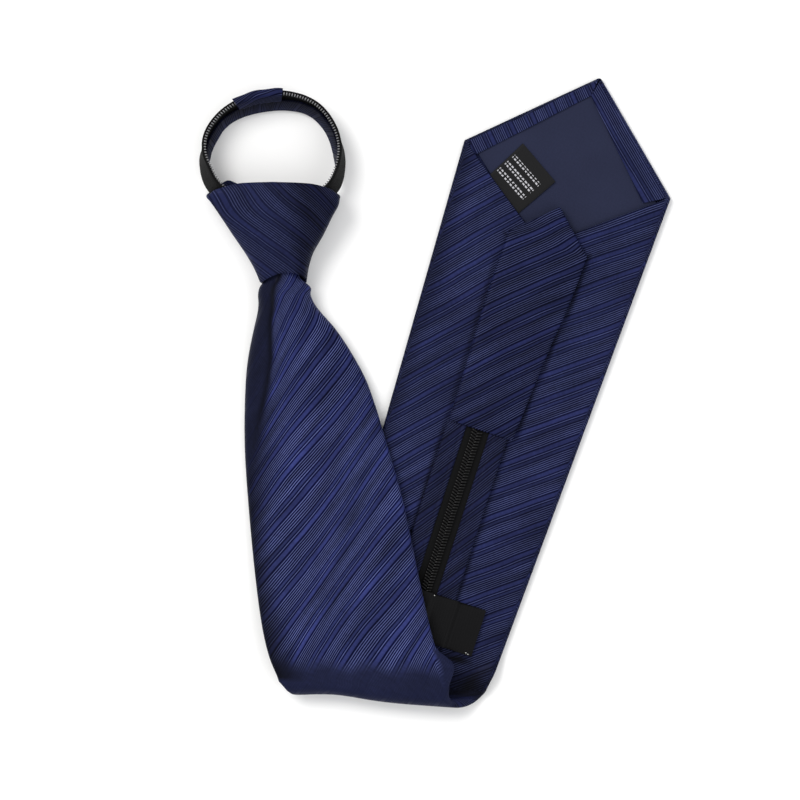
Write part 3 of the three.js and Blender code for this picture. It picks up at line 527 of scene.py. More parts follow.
def printed_material():
    """The label's black satin with rows of plain dashes where its print would be."""
    finish = Finish("printed_satin", Specular_IOR_Level=0.1)
    place, along, down = finish.cloth()
    thread, slub = along.threads(0.0004), finish.noise(place, 1500.0)
    line, letter = (down / LINE_PITCH).fract(), (along / LETTER_PITCH + slub * 0.9).fract()
    row = (finish.band(line, 0.12, 0.28) + finish.band(line, 0.44, 0.60)) * finish.band(down, *PRINT_ROWS)
    ink = row * finish.band(letter, 0.10, 0.68) * finish.band(along, *PRINT_SPAN) * (0.55 + slub * 0.6)
    cloth = finish.mix(thread, (0.0045, 0.0045, 0.0052, 1), (0.0100, 0.0100, 0.0108, 1))
    tint = finish.mix(ink.limit(), cloth, (0.50, 0.50, 0.53, 1))
    return finish.surface(Base_Color=tint, Roughness=0.5 + slub * 0.1,
                          Normal=finish.bump(thread * 0.5 + ink * 0.5, 0.00005, 0.5))


def nylon_material(name, colour):
    """Black nylon with faint moulding marks, and lighter patches at random painted as highlights on the
    teeth.
    """
    finish = Finish(name, Specular_IOR_Level=0.17)
    place = finish.node("ShaderNodeTexCoord", {}, {}, "Object")
    speck = finish.noise(place, 2600.0, 2.0)
    # Lighter patches at random: painted highlights standing in for glints on the teeth
    highlight_patch = finish.noise(place, 300.0, 2.0)
    tint = finish.mix(highlight_patch, four(colour), four(colour, 1.9))
    return finish.surface(Base_Color=tint, Roughness=0.13 + speck * 0.14,
                          Normal=finish.bump(speck, 0.00003, 0.4))


def finishes():
    """All the tie's materials, made once."""
    if FINISHES:
        return FINISHES
    FINISHES.update(
        cloth=stripe_material("tie_cloth"),
        lining=plain_material("lining_cloth", (0.0180, 0.0212, 0.046), 0.75, 0.00045),
        ribbon=plain_material("label_satin", (0.0050, 0.0050, 0.0056), 0.45, 0.0004, 0.00005, 0.0011),
        tape=plain_material("zip_tape", (0.0038, 0.0039, 0.0042), 0.7, 0.0007, 0.00009, 0.0011),
        nylon=nylon_material("zip_nylon", (0.0025, 0.0025, 0.0025)),
        # The neck loop's black coil is painted light grey, a painted highlight for the glints on its teeth
        coil=nylon_material("neck_nylon", (0.12, 0.12, 0.125)),
        label=printed_material(),
        thread=plain_material("white_thread", (0.62, 0.62, 0.60), 0.6, 0.0002),
    )
    return FINISHES


# Where cloth lies in deep shade: x, y, reach, width, angle in degrees and strength
DARK_SPOTS = [(13.6, -116.2, 5.5, 3.2, 35.0, 0.80), (7.6, -105.9, 6.5, 2.0, -17.0, 0.95)]


def shaded(points):
    """How much light reaches points beside the fold and under the keeper's edge."""
    light = np.ones(len(points))
    for x, y, reach, wide, angle, strength in DARK_SPOTS:
        c, s = math.cos(math.radians(angle)), math.sin(math.radians(angle))
        dx, dy = points[:, 0] - x, points[:, 1] - y
        a, b = (dx * c + dy * s) / reach, (dy * c - dx * s) / wide
        light *= 1 - strength * np.exp(-(a * a + b * b) ** 1.5)
    return light


# The blade, by runs: 0 to 1 down the front, 2 at the fold's end, 3 at the corners, 4 at the point
IN_KNOT = FRONT_SECTIONS[0][0]  # the run where the blade starts
FLAT = {"drop_left": 0, "drop_right": 0, "depth": 1, "roll": 0, "pleat": 0}
FACE_POINTS, FLAP_POINTS, ROUND_POINTS = 57, 23, 9
LIP = np.array([-1.0, 0.0, 1.0])  # the turns of three points round a flap's free edge

# Width of the dark plane of painted shade along the front's left edge, from place to place down the front
SHADED_PLANE_PLACES = (-0.045, 0.014, 0.09, 0.193, 0.25, 0.32, 0.42, 0.49)
SHADED_PLANE_WIDTHS = (6.0, 6.6, 6.4, 10.0, 9.6, 7.6, 4.4, -1.0)


def blade_edges(run):
    """The blade's left and right edge, and how its face drops between them, at a section."""
    if run < 1:
        row = row_at(FRONT_SECTIONS, FRONT_COLUMNS, run)
        middle = MOUTH + FRONT_WAY * FRONT_LENGTH * run
        t = max(run, 0)
        along = unit(np.array([1.0, 0, 0]) * (1 - t) + FOLD_WAY * t)
        top, lift = FOLD_HEIGHT * row["top"], (FOLD_RADII[1] - FOLD_RADII[0]) * row["tilt"]
        left = middle - along * (FOLD_WIDTH * row["left"] - corner_ease(run)) + UP * (top - lift)
        right = middle + along * FOLD_WIDTH * row["right"] + UP * (top + lift)
        return left, right, row
    if run < 2:
        turn = (run - 1) * math.pi
        shifts = (FOLD_SHIFTS[0] * (run - 1), FOLD_SHIFTS[1] * (run - 1) ** 2)
        round_end = math.sin(math.pi * min(max((run - 1.35) / 0.65, 0), 1))
        eases = (corner_ease(run), 2.0 * round_end - 0.9 * math.exp(-((run - 2) / 0.2) ** 2))
        left, right = (
            FOLD_PLACE + FOLD_WAY * (side * FOLD_HALF + shift + ease)
            + FOLD_OUT * r * max(math.sin(turn), 0) ** power + UP * r * (1 + math.cos(turn))
            for side, r, power, shift, ease in zip((-1, 1), FOLD_RADII, (1.0, 0.75), shifts, eases))
        return left, right, FLAT
    if run < 3:
        left, right = (a + (b - a) * (run - 2) for a, b in zip(TURNED, CORNERS))
        return left, right - FOLD_WAY * 0.9 * math.exp(-((run - 2) / 0.025) ** 2), FLAT
    return tuple(a + (TIP_POINT - a) * (run - 3) for a in CORNERS) + (FLAT,)


def corner_ease(run):
    """How far the fold's left corner is rounded off, in millimetres."""
    away = (run - 1) * (FRONT_LENGTH if run < 1 else FOLD_ROUND)
    return 1.3 * math.exp(-(away / 6) ** 2)


def inward(run):
    """The way from the face into the blade, at a section."""
    if run >= 2:
        return UP
    before, after = (sum(blade_edges(run + step)[:2]) / 2 for step in (-0.01, 0.01))
    left, right, _ = blade_edges(run)
    return unit(np.cross(right - left, after - before))


def face_drop(q, row):
    """How far the face hangs below its middle: a soft crown, rolled over steeply on the left."""
    out, roll_start = np.abs(q), 0.42
    soft = out ** 2.2
    turn = np.clip((out - roll_start) / (1 - roll_start), 0, 1)
    rolled = 1 - np.sqrt(1 - (turn * 0.995) ** 2)
    left = soft + (rolled - soft) * row["roll"] * 0.8
    drop = np.where(q < 0, row["drop_left"] * left, row["drop_right"] * soft) * FOLD_HEIGHT
    step = smooth(-q, 0.40, 0.56) * row["pleat"] * 1.1
    ridge = np.exp(-((q + 0.33) / 0.12) ** 2) * row["pleat"] * 0.6
    return drop + step - ridge


def blade_point(run, x, behind):
    """Points of the blade, from millimetres across its section and behind its face."""
    left, right, row = blade_edges(run)
    half = np.linalg.norm(right - left) / 2
    q = np.clip(np.asarray(x, float) / half, -1.2, 1.2)
    points = left + (right - left) * ((q + 1) / 2)[:, None]
    points[:, 2] -= face_drop(np.clip(q, -1, 1), row)
    if 1 < run < 2:
        pulled = 1.8 * math.sin(math.pi * (run - 1)) * np.exp(-((q + 0.5) / 0.45) ** 2)
        points -= pulled[:, None] * FOLD_OUT
    return points + np.asarray(behind, float)[:, None] * inward(run)


def blade_depth(run, q):
    """From the face to the back, at a share of the way from the middle to the edge."""
    return BLADE_DEPTH * (1 + (blade_edges(run)[2]["depth"] - 1) * (1 - q ** 2))


def flap_reach(run):
    """How far each flap's free edge is from the middle, in millimetres."""
    return max(SEAM_HALF, BLADE_HALF * (1 + (run - 3) * BACK_LENGTH / OPENING_DEPTH))


def puff(run):
    """How far the cloth under the right edge bulges out beside the fold."""
    return 5.2 * float(smooth(run, 0.893, 0.938) * (1 - smooth(run, 0.938, 1.005)))


def blade_section(run, wall):
    """All round the folded cloth: places across, behind the face and along the cloth, and the kind.

    The kind is 1 or -1 on the right or left flap, 2 on the bulge and otherwise 0. Half the
    section's width comes last.
    """
    left, right, _ = blade_edges(run)
    half = np.linalg.norm(right - left) / 2
    tip = run >= 3
    edge_depth = TIP_DEPTH if tip else BLADE_DEPTH
    r = min(edge_depth / 2, half * 0.3)
    inner_r, edge = max(r - wall, 0.1), half - r
    reach = half - 1.9 if tip else min(flap_reach(run), half - 2.2)
    reach = max(min(reach, edge - 0.3), 0.2 * edge if tip else SEAM_HALF)
    turn = np.linspace(-math.pi / 2, math.pi / 2, ROUND_POINTS)[1:-1]
    face = np.linspace(-edge, edge, FACE_POINTS)
    flap = np.linspace(edge, reach, FLAP_POINTS)
    span, lip = 2 * edge + math.pi * r, reach + 0 * LIP

    def deep(x):
        return x * 0 + edge_depth if tip else blade_depth(run, x / half)

    def side(swell):
        """From the face round the right edge to the flap's free edge, and back inside it."""
        down, out = turn[::-1], swell * np.cos(turn) ** 0.7
        return [
            (edge + (r + swell) * np.cos(turn), r + r * np.sin(turn) + 0.36 * out,
             edge + (r + swell * 0.6) * (turn + math.pi / 2), 0 if swell < 0.3 else 2),
            (flap, deep(flap), span - flap, 1),
            (lip - wall / 2 * np.cos(LIP), deep(lip) + wall / 2 * (np.sin(LIP) - 1), span - lip, 1),
            (flap[::-1], deep(flap[::-1]) - wall, span - flap[::-1], 1),
            (edge + (inner_r + swell) * np.cos(down), r + inner_r * np.sin(down) + 0.30 * out[::-1],
             edge + r * (down + math.pi / 2), 0),
        ]

    parts = [(face, 0 * face, face, 0)] + side(puff(run)) + [(face[::-1], 0 * face + wall, face[::-1], 0)]
    parts += [(-x[::-1], behind[::-1], -cloth[::-1], -kind) for x, behind, cloth, kind in side(0.0)[::-1]]
    kind = np.concatenate([np.full(len(part[0]), part[3]) for part in parts])
    return (*(np.concatenate([part[n] for part in parts]) for n in range(3)), kind, half)


BACK_START = FRONT_LENGTH + math.pi * FOLD_ROLL
EDGE_LINES = [[np.array(back_frame(p)).ravel() for p in (TURNED[i], CORNERS[i])] for i in (0, 1)]


def section_turn(run):
    """How far a section leans from straight across the cloth, in radians."""
    return np.interp(run, (0, 1, 2, 3),
                     (FRONT_LEAN, FRONT_LEAN - FOLD_LEAN, BACK_LEAN + FOLD_LEAN, BACK_LEAN - TIP_LEAN))


def section_start(run):
    """The length of cloth from the mouth to a section's middle."""
    corners = BACK_START + BACK_LENGTH
    starts = (-FRONT_LENGTH, FRONT_LENGTH, BACK_START, corners, corners + TIP_LENGTH)
    return np.interp(run, (-1, 1, 2, 3, 4), starts)


def blade_cloth_place(run, points, cloth, kind):
    """Along and across the stripes for each point of a section."""
    turn = section_turn(run)
    x, s = cloth * math.cos(turn), section_start(run) + cloth * math.sin(turn)
    if run >= 2:
        u, v = back_frame(points)
        for side, line in zip((-1, 1), EDGE_LINES):
            folded_u, folded_v = mirrored(u, v, *line)
            x = np.where(kind == side, folded_u, np.where(kind == 0, u, x))
            s = np.where(kind == side, BACK_START + folded_v, np.where(kind == 0, BACK_START + v, s))
    return np.stack(striped(x, s), 1)


def shaded_plane_width(run):
    """Width of the painted dark plane along the front's left edge, at a section."""
    return float(np.interp(run, SHADED_PLANE_PLACES, SHADED_PLANE_WIDTHS))


def front_cloth(run, x, points, cloth, kind, half):
    """The front's places along its cloth, so that stripes bend over the roll as cloth does."""
    steps = np.linalg.norm(np.diff(points[:FACE_POINTS], axis=0), axis=1)
    length = np.concatenate([[0], np.cumsum(steps)])
    face, last = x[:FACE_POINTS], x[FACE_POINTS - 1]
    arc = np.interp(x, face, length - np.interp(0, face, length))
    past = np.maximum(np.abs(cloth) - last, 0) * np.sign(cloth)
    inner = np.maximum(x + half - shaded_plane_width(run), -3)
    pulled = 5.5 * np.exp(-inner / 9) * (1 - smooth(run, 0.35, 0.75))
    return np.where(kind == 0, arc + past - pulled + 1.5 * np.sin(x * 0.13 + run * 9), cloth)


def back_swell(run, x, points, kind, half):
    """How far the back's cloth stands up from flat, in the flaps' soft waves and beside the fold."""
    u, v = back_frame(points)
    waves = 0.22 * np.sin(u * 0.11 + v * 0.045) + 0.16 * np.sin(u * 0.05 - v * 0.09 + 1.3)
    flap = np.abs(kind) * smooth(half - np.abs(x), 1, 8) * smooth(np.abs(x), 0, 4)
    return (flap * (waves - 0.2) * (1 - smooth(run, 2.8, 2.95))
            + 2.4 * smooth(x / half, 0.72, 1.0) * math.exp(-((run - 2.03) / 0.03) ** 2))


def beside_strip(u, v):
    """How much light reaches the back beside the strip's and the tail's edges."""
    if v < TAIL_START:
        left, right = STRIP_WIDTH / 2 - STRIP_SHIFT, STRIP_WIDTH / 2 + STRIP_SHIFT
    else:
        row = row_at(TAIL_SECTIONS, TAIL_COLUMNS, (v - TAIL_START) / TAIL_STRAIGHT)
        left, right = row["left"], row["right"]
    close = np.exp(-((u + left + 0.4) / 0.7) ** 2) + np.exp(-((u - right - 0.4) / 0.8) ** 2)
    return 1 - 0.72 * close * (v < TAIL_START + TAIL_STRAIGHT + 1.2)


def front_light(run, x, half, kind):
    """The painted light and shade of the front and the fold, and their painted sheen, which sets how far
    their stripes show.
    """
    from_left, shaded_plane_edge = x + half, shaded_plane_width(run)
    front = (run < 1) * (kind == 0)
    # Painted shade: a dark plane along the left edge, a darker valley at its edge and shade reaching in from
    # the left edge
    plane_shade = front * (1 - smooth(from_left, shaded_plane_edge - 0.8, shaded_plane_edge + 0.8))
    valley_shade = front * np.exp(-((from_left - shaded_plane_edge + 0.4) / 1.3) ** 2) * (1 - smooth(run, 0.3, 0.48))
    reach = 9 + 9 * math.exp(-((run - 0.40) / 0.15) ** 2) + 6 * smooth(run, 0.7, 0.9)
    shade = 0.85 * (1 - smooth(from_left, -1, reach)) * (run < 1) * (1 - plane_shade)
    # Painted shade towards the fold's lower edge, where the stripes also fade
    low = smooth(run + 0.006 * np.sin(x * 0.35), 0.930, 0.975)
    tone = (1 - 0.79 * plane_shade) * (1 - 0.72 * valley_shade) * (1 - shade) * (1 - 0.66 * low)
    catch = (1 - 0.75 * plane_shade) * (1 - 0.9 * low)
    # A painted highlight along the right edge over the bulge; the bulge itself is painted dark
    line = np.exp(-((x - x[FACE_POINTS - 1]) / 0.5) ** 2) * (puff(run) > 0.3) * (kind == 0)
    return np.where(kind == 2, 0.38, tone) * (1 + 0.3 * line), np.where(kind == 2, 0.1, catch)


def back_light(run, x, half, points):
    """The painted light and shade of the back half, and its painted sheen, which sets how far its stripes
    show.
    """
    # Painted shade along both long edges, through the turn of the fold, in the dark spots and beside the
    # strip
    rim = 1 - 0.5 * (1 - smooth(x + half, 0, 9)) - 0.2 * (1 - smooth(half - x, 0, 4))
    turned = 0.44 - 0.32 * smooth(run, 1.70, 1.88) + 0.54 * smooth(run, 1.98, 2.11)
    tone = turned * rim * shaded(points)
    if run > 2:
        tone = tone * beside_strip(x, BACK_LENGTH * (run - 2))
    return tone, np.full(len(x), 0.88)


def blade_runs():
    """The sections of the blade, closer together where it bends most."""
    opening = 3 - OPENING_DEPTH / BACK_LENGTH
    front = np.unique(np.concatenate([np.linspace(IN_KNOT, 0.12, 34), np.linspace(0.12, 1, 76)]))
    turn, after = np.linspace(1, 2, 33)[1:], np.linspace(2, 2.06, 12)[1:]
    back, notch = np.linspace(2.06, opening, 46)[1:], np.linspace(opening, 2.9985, 26)[1:]
    return np.concatenate([front, turn, after, back, notch, [3.004], np.linspace(3.02, 3.985, 22)])


class TIE_OT_blade(bpy.types.Operator):
    """Makes the wide blade: one cloth folded round to its back seam and folded over once"""
    bl_idname = "tie.blade"
    bl_label = "Blade"

    def execute(self, context):
        wall = context.scene.tie_cloth.wall / MM
        rings, places, lights = [], [], []
        for run in blade_runs():
            x, behind, cloth, kind, half = blade_section(run, wall)
            points = blade_point(run, x, behind)
            if run < 1:
                cloth = front_cloth(run, x, points, cloth, kind, half)
            if run >= 2:
                points[:, 2] += back_swell(run, x, points, kind, half)
            light = back_light(run, x, half, points) if run > 1.4 else front_light(run, x, half, kind)
            rings.append(points)
            places.append(blade_cloth_place(run, points, cloth, kind))
            lights.append(np.stack(light, 1))
        blade = tube("blade_cloth", rings, places, finishes()["cloth"], lights, angle=50)
        dress(blade, "root", ["front_blade"])
        return {"FINISHED"}


# The tip
HEM_WIDTHS = {-1: 7.2, 1: 10.6}
HEM_CORNER = np.array([-0.2, BACK_LENGTH + TIP_LENGTH - 7.4])  # where both hems' inner edges meet
LINING_CORNERS = [(0.0, BACK_LENGTH - OPENING_DEPTH - 4), (39.0, BACK_LENGTH - 3.6),
                  (0.6, BACK_LENGTH + TIP_LENGTH - 5), (-39.0, BACK_LENGTH - 3.2)]
LABEL_CORNERS = [(-29.0, BACK_LENGTH - 12.6), (-13.2, BACK_LENGTH - 23.6), (-3.1, BACK_LENGTH - 7.0),
                 (-20.2, BACK_LENGTH + 3.6)]
PRINT_TOP, PRINT_END = np.array([-20.7, BACK_LENGTH + 3.3]), np.array([-3.4, BACK_LENGTH - 7.0])


def quad_sheet(name, corners, low, thick, steps, material, turn=None, curl=None, bulge=0.0, light=(1.0, 1.0)):
    """A thin cloth between four corners in the back frame, with round edges."""
    c = [np.asarray(p, float) for p in corners]
    width = max(np.linalg.norm(c[1] - c[0]), np.linalg.norm(c[2] - c[3]))
    profile = rounded(width, thick, edge=4, face=steps[0])
    share = profile[:, 0] / width + 0.5
    rings, places = [], []
    for t in np.linspace(0, 1, steps[1] + 1):
        a, b = c[0] + (c[3] - c[0]) * t, c[1] + (c[2] - c[1]) * t
        u, v = (a + (b - a) * share[:, None]).T
        up = low + profile[:, 1] + bulge * np.sin(math.pi * share) * math.sin(math.pi * t)
        rings.append(back_place(u, v, up + curl(share, t) if curl else up))
        places.append(np.stack(turn(u, v) if turn else (u, v), 1))
    return tube(name, rings, places, material, even_light(rings, *light), 50)


def hem_sheet(side, material):
    """The narrow hem along the tip's left or right edge, its outer edge rolled down."""
    corner, point = (np.array(back_frame(p)).ravel() for p in (CORNERS[(side + 1) // 2], TIP_POINT))
    along = unit(point - corner)
    into = np.array([along[1], -along[0]]) * -side
    outer = [corner + along * 0.6 + into * 0.25, point - along * 0.8 + into * 0.25]
    inner = [corner + into * HEM_WIDTHS[side] + along * (1.0 if side < 0 else 4.0), HEM_CORNER]
    first, second = (outer, inner) if side < 0 else (inner, outer)

    def curl(share, t):
        out = share if side > 0 else 1 - share
        return -0.9 * smooth(out, 0.86, 1.0) + 0.12 * np.sin(9 * t + 3 * share)

    def turn(u, v):
        down, deep = ((u - corner[0]) * line[0] + (v - corner[1]) * line[1] for line in (along, into))
        return (down, deep + 1.2) if side > 0 else (deep, down)

    # The hems are painted darker than the front, a painted shade, with less painted sheen
    return quad_sheet("hem_left" if side < 0 else "hem_right", [first[0], second[0], second[1], first[1]],
                      2.0, 0.7, (14, 40), material, turn, curl, light=(0.66, 0.8))


def label_place(u, v):
    """Along and down the label's print, from its top corner."""
    line = unit(PRINT_END - PRINT_TOP)
    u, v = u - PRINT_TOP[0], v - PRINT_TOP[1]
    return u * line[0] + v * line[1], u * line[1] - v * line[0]


class TIE_OT_tip(bpy.types.Operator):
    """Makes the tip's hems, the slate lining and the care label"""
    bl_idname = "tie.tip"
    bl_label = "Tip, lining and label"

    def execute(self, context):
        look = finishes()
        hems = [hem_sheet(side, look["cloth"]) for side in (-1, 1)]
        lining = quad_sheet("lining_sheet", LINING_CORNERS, 1.5, 0.4, (40, 40), look["lining"], bulge=0.12)
        dress(lining, "root", ["tip_lining"])
        for hem in hems:
            dress(hem, "root", [])
        label = quad_sheet("care_label_ribbon", LABEL_CORNERS, 2.02, 0.35, (20, 24), look["label"],
                           label_place, lambda share, t: 0.5 * t * share)
        dress(label, "root", ["care_label"])
        return {"FINISHED"}


# The zip strip
STRIP_BIAS = math.radians(54)  # from the strip's side to its stripes
CLOTH_EDGE, TAPE_EDGES = 4.75, (0.15, 5.2)  # from the zip's middle
GROOVE = 6.5  # the stitched line in each cloth, from the zip's middle
TOOTH_PLACE, TOOTH_UP = 1.06, 1.42


def strip_runs():
    """The sections of the strip, from the knot to the tail's seam."""
    end = 2 + (TAIL_START - 0.3) / BACK_LENGTH
    return np.concatenate([np.linspace(a, b, n) for a, b, n in (
        (IN_KNOT, 1, 90), (1 + 1 / 32, 2 - 1 / 32, 31), (2.04, end, 90))])


def strip_half(run):
    return (STRIP_KNOT_WIDTH + (STRIP_WIDTH - STRIP_KNOT_WIDTH) * smooth(run, 0, 0.22)) / 2


def strip_place(run, across, up):
    """Points on the strip, from its own middle and up from the blade's back."""
    if run > 2:
        return back_place(across + STRIP_SHIFT, BACK_LENGTH * (run - 2), BLADE_DEPTH + up)
    left, right, _ = blade_edges(run)
    half = np.linalg.norm(right - left) / 2
    x = across + STRIP_SHIFT * smooth(run, 1, 2)
    return blade_point(run, x, blade_depth(run, x / half) + up)


def strip_spot(run, across, up):
    """One point on the strip."""
    return strip_place(run, np.array([across]), np.array([up]))[0]


def strip_band(name, low, span, material, thick, groove=None, wave=0.0, light=(1, 1)):
    """A band of the strip between two places across it, with round edges."""
    c, s = math.cos(STRIP_BIAS), math.sin(STRIP_BIAS)
    rings, places, lights = [], [], []
    for run in strip_runs():
        a, b = sorted(span(run))
        section = rounded(b - a, thick, edge=4, face=16)
        across, top = (a + b) / 2 + section[:, 0], section[:, 1] > thick * 0.6
        along = section_start(run)
        up = low + section[:, 1] + top * wave * np.sin(along * 0.21 + across * 0.3)
        if groove is not None:
            up = up - top * 0.32 * np.exp(-((across - groove) / 0.35) ** 2)
        ring = strip_place(run, across, up)
        rings.append(ring)
        places.append(np.stack([across * c + along * s, along * c - across * s], 1))
        lights.append(np.stack([light[0] * shaded(ring), np.full(len(ring), light[1])], 1))
    return tube(name, rings, places, material, lights, 50)


def tooth(length, width, height, steps):
    """One rounded tooth along X, the pattern for its row."""
    bpy.ops.object.select_all(action="DESELECT")
    bpy.ops.mesh.primitive_cube_add(size=1, location=(0, 0, 0))
    piece = bpy.context.object
    piece.scale = (length * MM, width * MM, height * MM)
    bpy.ops.object.transform_apply(location=False, rotation=False, scale=True)
    bpy.ops.object.mode_set(mode="EDIT")
    bpy.ops.mesh.select_all(action="SELECT")
    bpy.ops.mesh.bevel(offset=min(width, height) * 0.32 * MM, segments=steps, affect="EDGES")
    bpy.ops.object.mode_set(mode="OBJECT")
    points = np.array([v.co for v in piece.data.vertices]) / MM
    faces = [list(f.vertices) for f in piece.data.polygons]
    bpy.data.objects.remove(piece, do_unlink=True)
    return points, faces


def repeated(name, pattern, frames, material, angle=60):
    """Copies of a pattern, each set in its own frame of origin and three directions."""
    points, faces = pattern
    all_points, all_faces = [], []
    for origin, x, y, z in frames:
        start = len(all_points) * len(points)
        all_points.append(origin + points[:, :1] * x + points[:, 1:2] * y + points[:, 2:] * z)
        all_faces += [[i + start for i in f] for f in faces]
    flat = np.concatenate(all_points)
    return finish_mesh(name, flat, all_faces, flat[:, :2], material=material, angle=angle)


def runs_by_length(runs, place, pitch):
    """Sections a pitch apart along a middle line."""
    line = np.array([place(run) for run in runs])
    length = np.concatenate([[0], np.cumsum(np.linalg.norm(np.diff(line, axis=0), axis=1))])
    return np.interp(np.arange(pitch * 0.5, length[-1] - pitch * 0.3, pitch), length, runs)


def chain_frame(run, side, last):
    """Where a tooth of the closed zip lies, and its own three directions."""
    here, out, before, after = (
        strip_spot(at, side * across, TOOTH_UP)
        for at, across in ((run, TOOTH_PLACE), (run, TOOTH_PLACE + 1), (run - 0.002, TOOTH_PLACE),
                           (min(run + 0.002, last), TOOTH_PLACE)))
    ahead = unit(after - before)
    slant = unit(unit(out - here) + ahead * 0.34)
    up = unit(np.cross(slant, ahead))
    return here, slant, np.cross(up, slant), up


class TIE_OT_zip_strip(bpy.types.Operator):
    """Makes the zip strip on the blade's back: its cloth sides, both tapes and the closed teeth"""
    bl_idname = "tie.zip_strip"
    bl_label = "Zip strip"

    def execute(self, context):
        look = finishes()
        for side, name in ((-1, "left"), (1, "right")):
            # The strip's cloth is painted darker than the front, a painted shade, with a little less painted
            # sheen
            cloth = strip_band(f"strip_side_{name}", 0.42,
                               lambda run: (side * CLOTH_EDGE, side * strip_half(run)),
                               look["cloth"], 1.2, side * GROOVE, 0.07, (0.37, 0.9))
            dress(cloth, "root", [f"strip_cloth_{name}"])
            tape = strip_band(f"tape_{name}", 0.3, lambda run: (side * TAPE_EDGES[0], side * TAPE_EDGES[1]),
                              look["tape"], 0.6)
            dress(tape, "root", [f"zip_tape_{name}"])
        sizes, runs = context.scene.tie_zip, strip_runs()
        pitch, reach = sizes.pitch / MM, sizes.chain_width / MM / 2
        pattern = tooth(reach + 0.25, pitch * 0.74, 1.15, sizes.tooth_steps)
        places = runs_by_length(runs, lambda run: strip_spot(run, 0.0, 1.5), pitch / 2)
        frames = [chain_frame(run, 1 if n % 2 else -1, runs[-1]) for n, run in enumerate(places)]
        teeth = repeated("chain_teeth", pattern, frames, look["nylon"])
        dress(teeth, "root", ["zip_chain"])
        return {"FINISHED"}


# The tail
TAIL_BIAS = math.radians(44)


def tail_ring(t, low, deep):
    """A ring of the tail, its point from t = 1 to 2, and each point's place on its cloth."""
    row = row_at(TAIL_SECTIONS, TAIL_COLUMNS, t)
    left, right = row["left"], row["right"]
    v = TAIL_START + TAIL_STRAIGHT * min(t, 1) + TAIL_POINT * max(t - 1, 0)
    middle, past = (right - left) / 2, max(t - 1, 0)
    left, right = left + (-middle - left) * past, right + (middle - right) * past
    width = left + right
    section = rounded(width, min(deep, width * 0.8), edge=7, face=36)
    u, share = section[:, 0] + (right - left) / 2, section[:, 0] / width
    top = section[:, 1] > deep * 0.5
    soft = 0.45 * np.cos(share * math.pi)
    ripple = 1.3 * row["crease"] * np.sin(share * 6 + t * 9) + 0.1 * np.sin(v * 0.21 + u * 0.3)
    pinch = 1.1 * (1 - smooth(t, 0.0, 0.035))
    up = low + section[:, 1] + top * ((soft + ripple) * (1 - smooth(t, 1.5, 2)) - pinch)
    bias = TAIL_BIAS + math.radians(5 * math.sin(t * 5.5))
    place = np.stack([u * math.cos(bias) + v * math.sin(TAIL_BIAS),
                      -u * math.sin(bias) + v * math.cos(TAIL_BIAS)], 1)
    return back_place(u, v, up), place


class TIE_OT_tail(bpy.types.Operator):
    """Makes the tail, a narrow folded blade with its point near the tip's opening"""
    bl_idname = "tie.tail"
    bl_label = "Tail"

    def execute(self, context):
        stations = np.concatenate([np.linspace(0, 1, 70), 1 + np.linspace(0, 0.99, 22)[1:]])
        rings, places = zip(*(tail_ring(t, BLADE_DEPTH + 0.35, 2.8) for t in stations))
        # The tail is painted at half the front's light, a painted shade
        tail = tube("tail_cloth", rings, places, finishes()["cloth"], even_light(rings, 0.50, 1.0), 50)
        dress(tail, "root", ["tail_blade"])
        return {"FINISHED"}


# The keeper
KEEPER_WALL = 0.55
CLOTH_CLIMB, TAPE_CLIMB = (13.2, 15.6), (2.6, 5.2)  # from the keeper's middle, where it goes up
STITCHES = [(23.0, 21.0, 1.1), (23.9, 20.7, 1.1), (4.0, 39.0, 2.75)]  # across, along and up


def keeper_ring(t):
    """A ring of the ribbon at a share of its length, and each point's place on its cloth."""
    u = np.linspace(-KEEPER_HALF, KEEPER_HALF, 121)
    over, v = np.abs(u), KEEPER_START + KEEPER_LENGTH * t
    lift = 1.55 * (1 - smooth(over, *CLOTH_CLIMB)) + 1.0 * (1 - smooth(over, *TAPE_CLIMB))
    sag = 0.25 * math.cos(t * math.pi) * (1 - smooth(over, 10, 20)) + 0.05 * np.sin(u * 0.8 + t * 5)
    base = BLADE_DEPTH + 0.35 + lift + sag * 0.5
    rim = 0.5 * (1 - (2 * t - 1) ** 12)
    across = np.concatenate([u[::-1], u])
    up = np.concatenate([base[::-1] + KEEPER_WALL * (0.5 - rim), base + KEEPER_WALL * (0.5 + rim)])
    return back_place(across + STRIP_SHIFT, v, up), np.stack([across, np.full(len(across), v)], 1)


class TIE_OT_keeper(bpy.types.Operator):
    """Makes the ribbon loop that holds the zip strip, with a stitch at its free corners"""
    bl_idname = "tie.keeper"
    bl_label = "Keeper"

    def execute(self, context):
        look = finishes()
        rings, places = zip(*(keeper_ring(t) for t in np.linspace(0, 1, 29)))
        keeper = tube("keeper_ribbon", rings, places, look["ribbon"], angle=50)
        dress(keeper, "root", ["keeper_loop"])
        pattern = tooth(0.5, 0.3, 0.3, 1)
        stitches = [(back_place(u + STRIP_SHIFT, v, BLADE_DEPTH + up), BACK_SIDE, BACK_WAY, UP)
                    for u, v, up in STITCHES]
        dots = repeated("keeper_stitches", pattern, stitches, look["thread"])
        dress(dots, "root", [])
        return {"FINISHED"}


# The knot
KNOT_TOP = MOUTH[1] + KNOT_LENGTH
KNOT_WALL, KNOT_SIDES = 1.2, 160
KNOT_BIAS = math.radians(37)


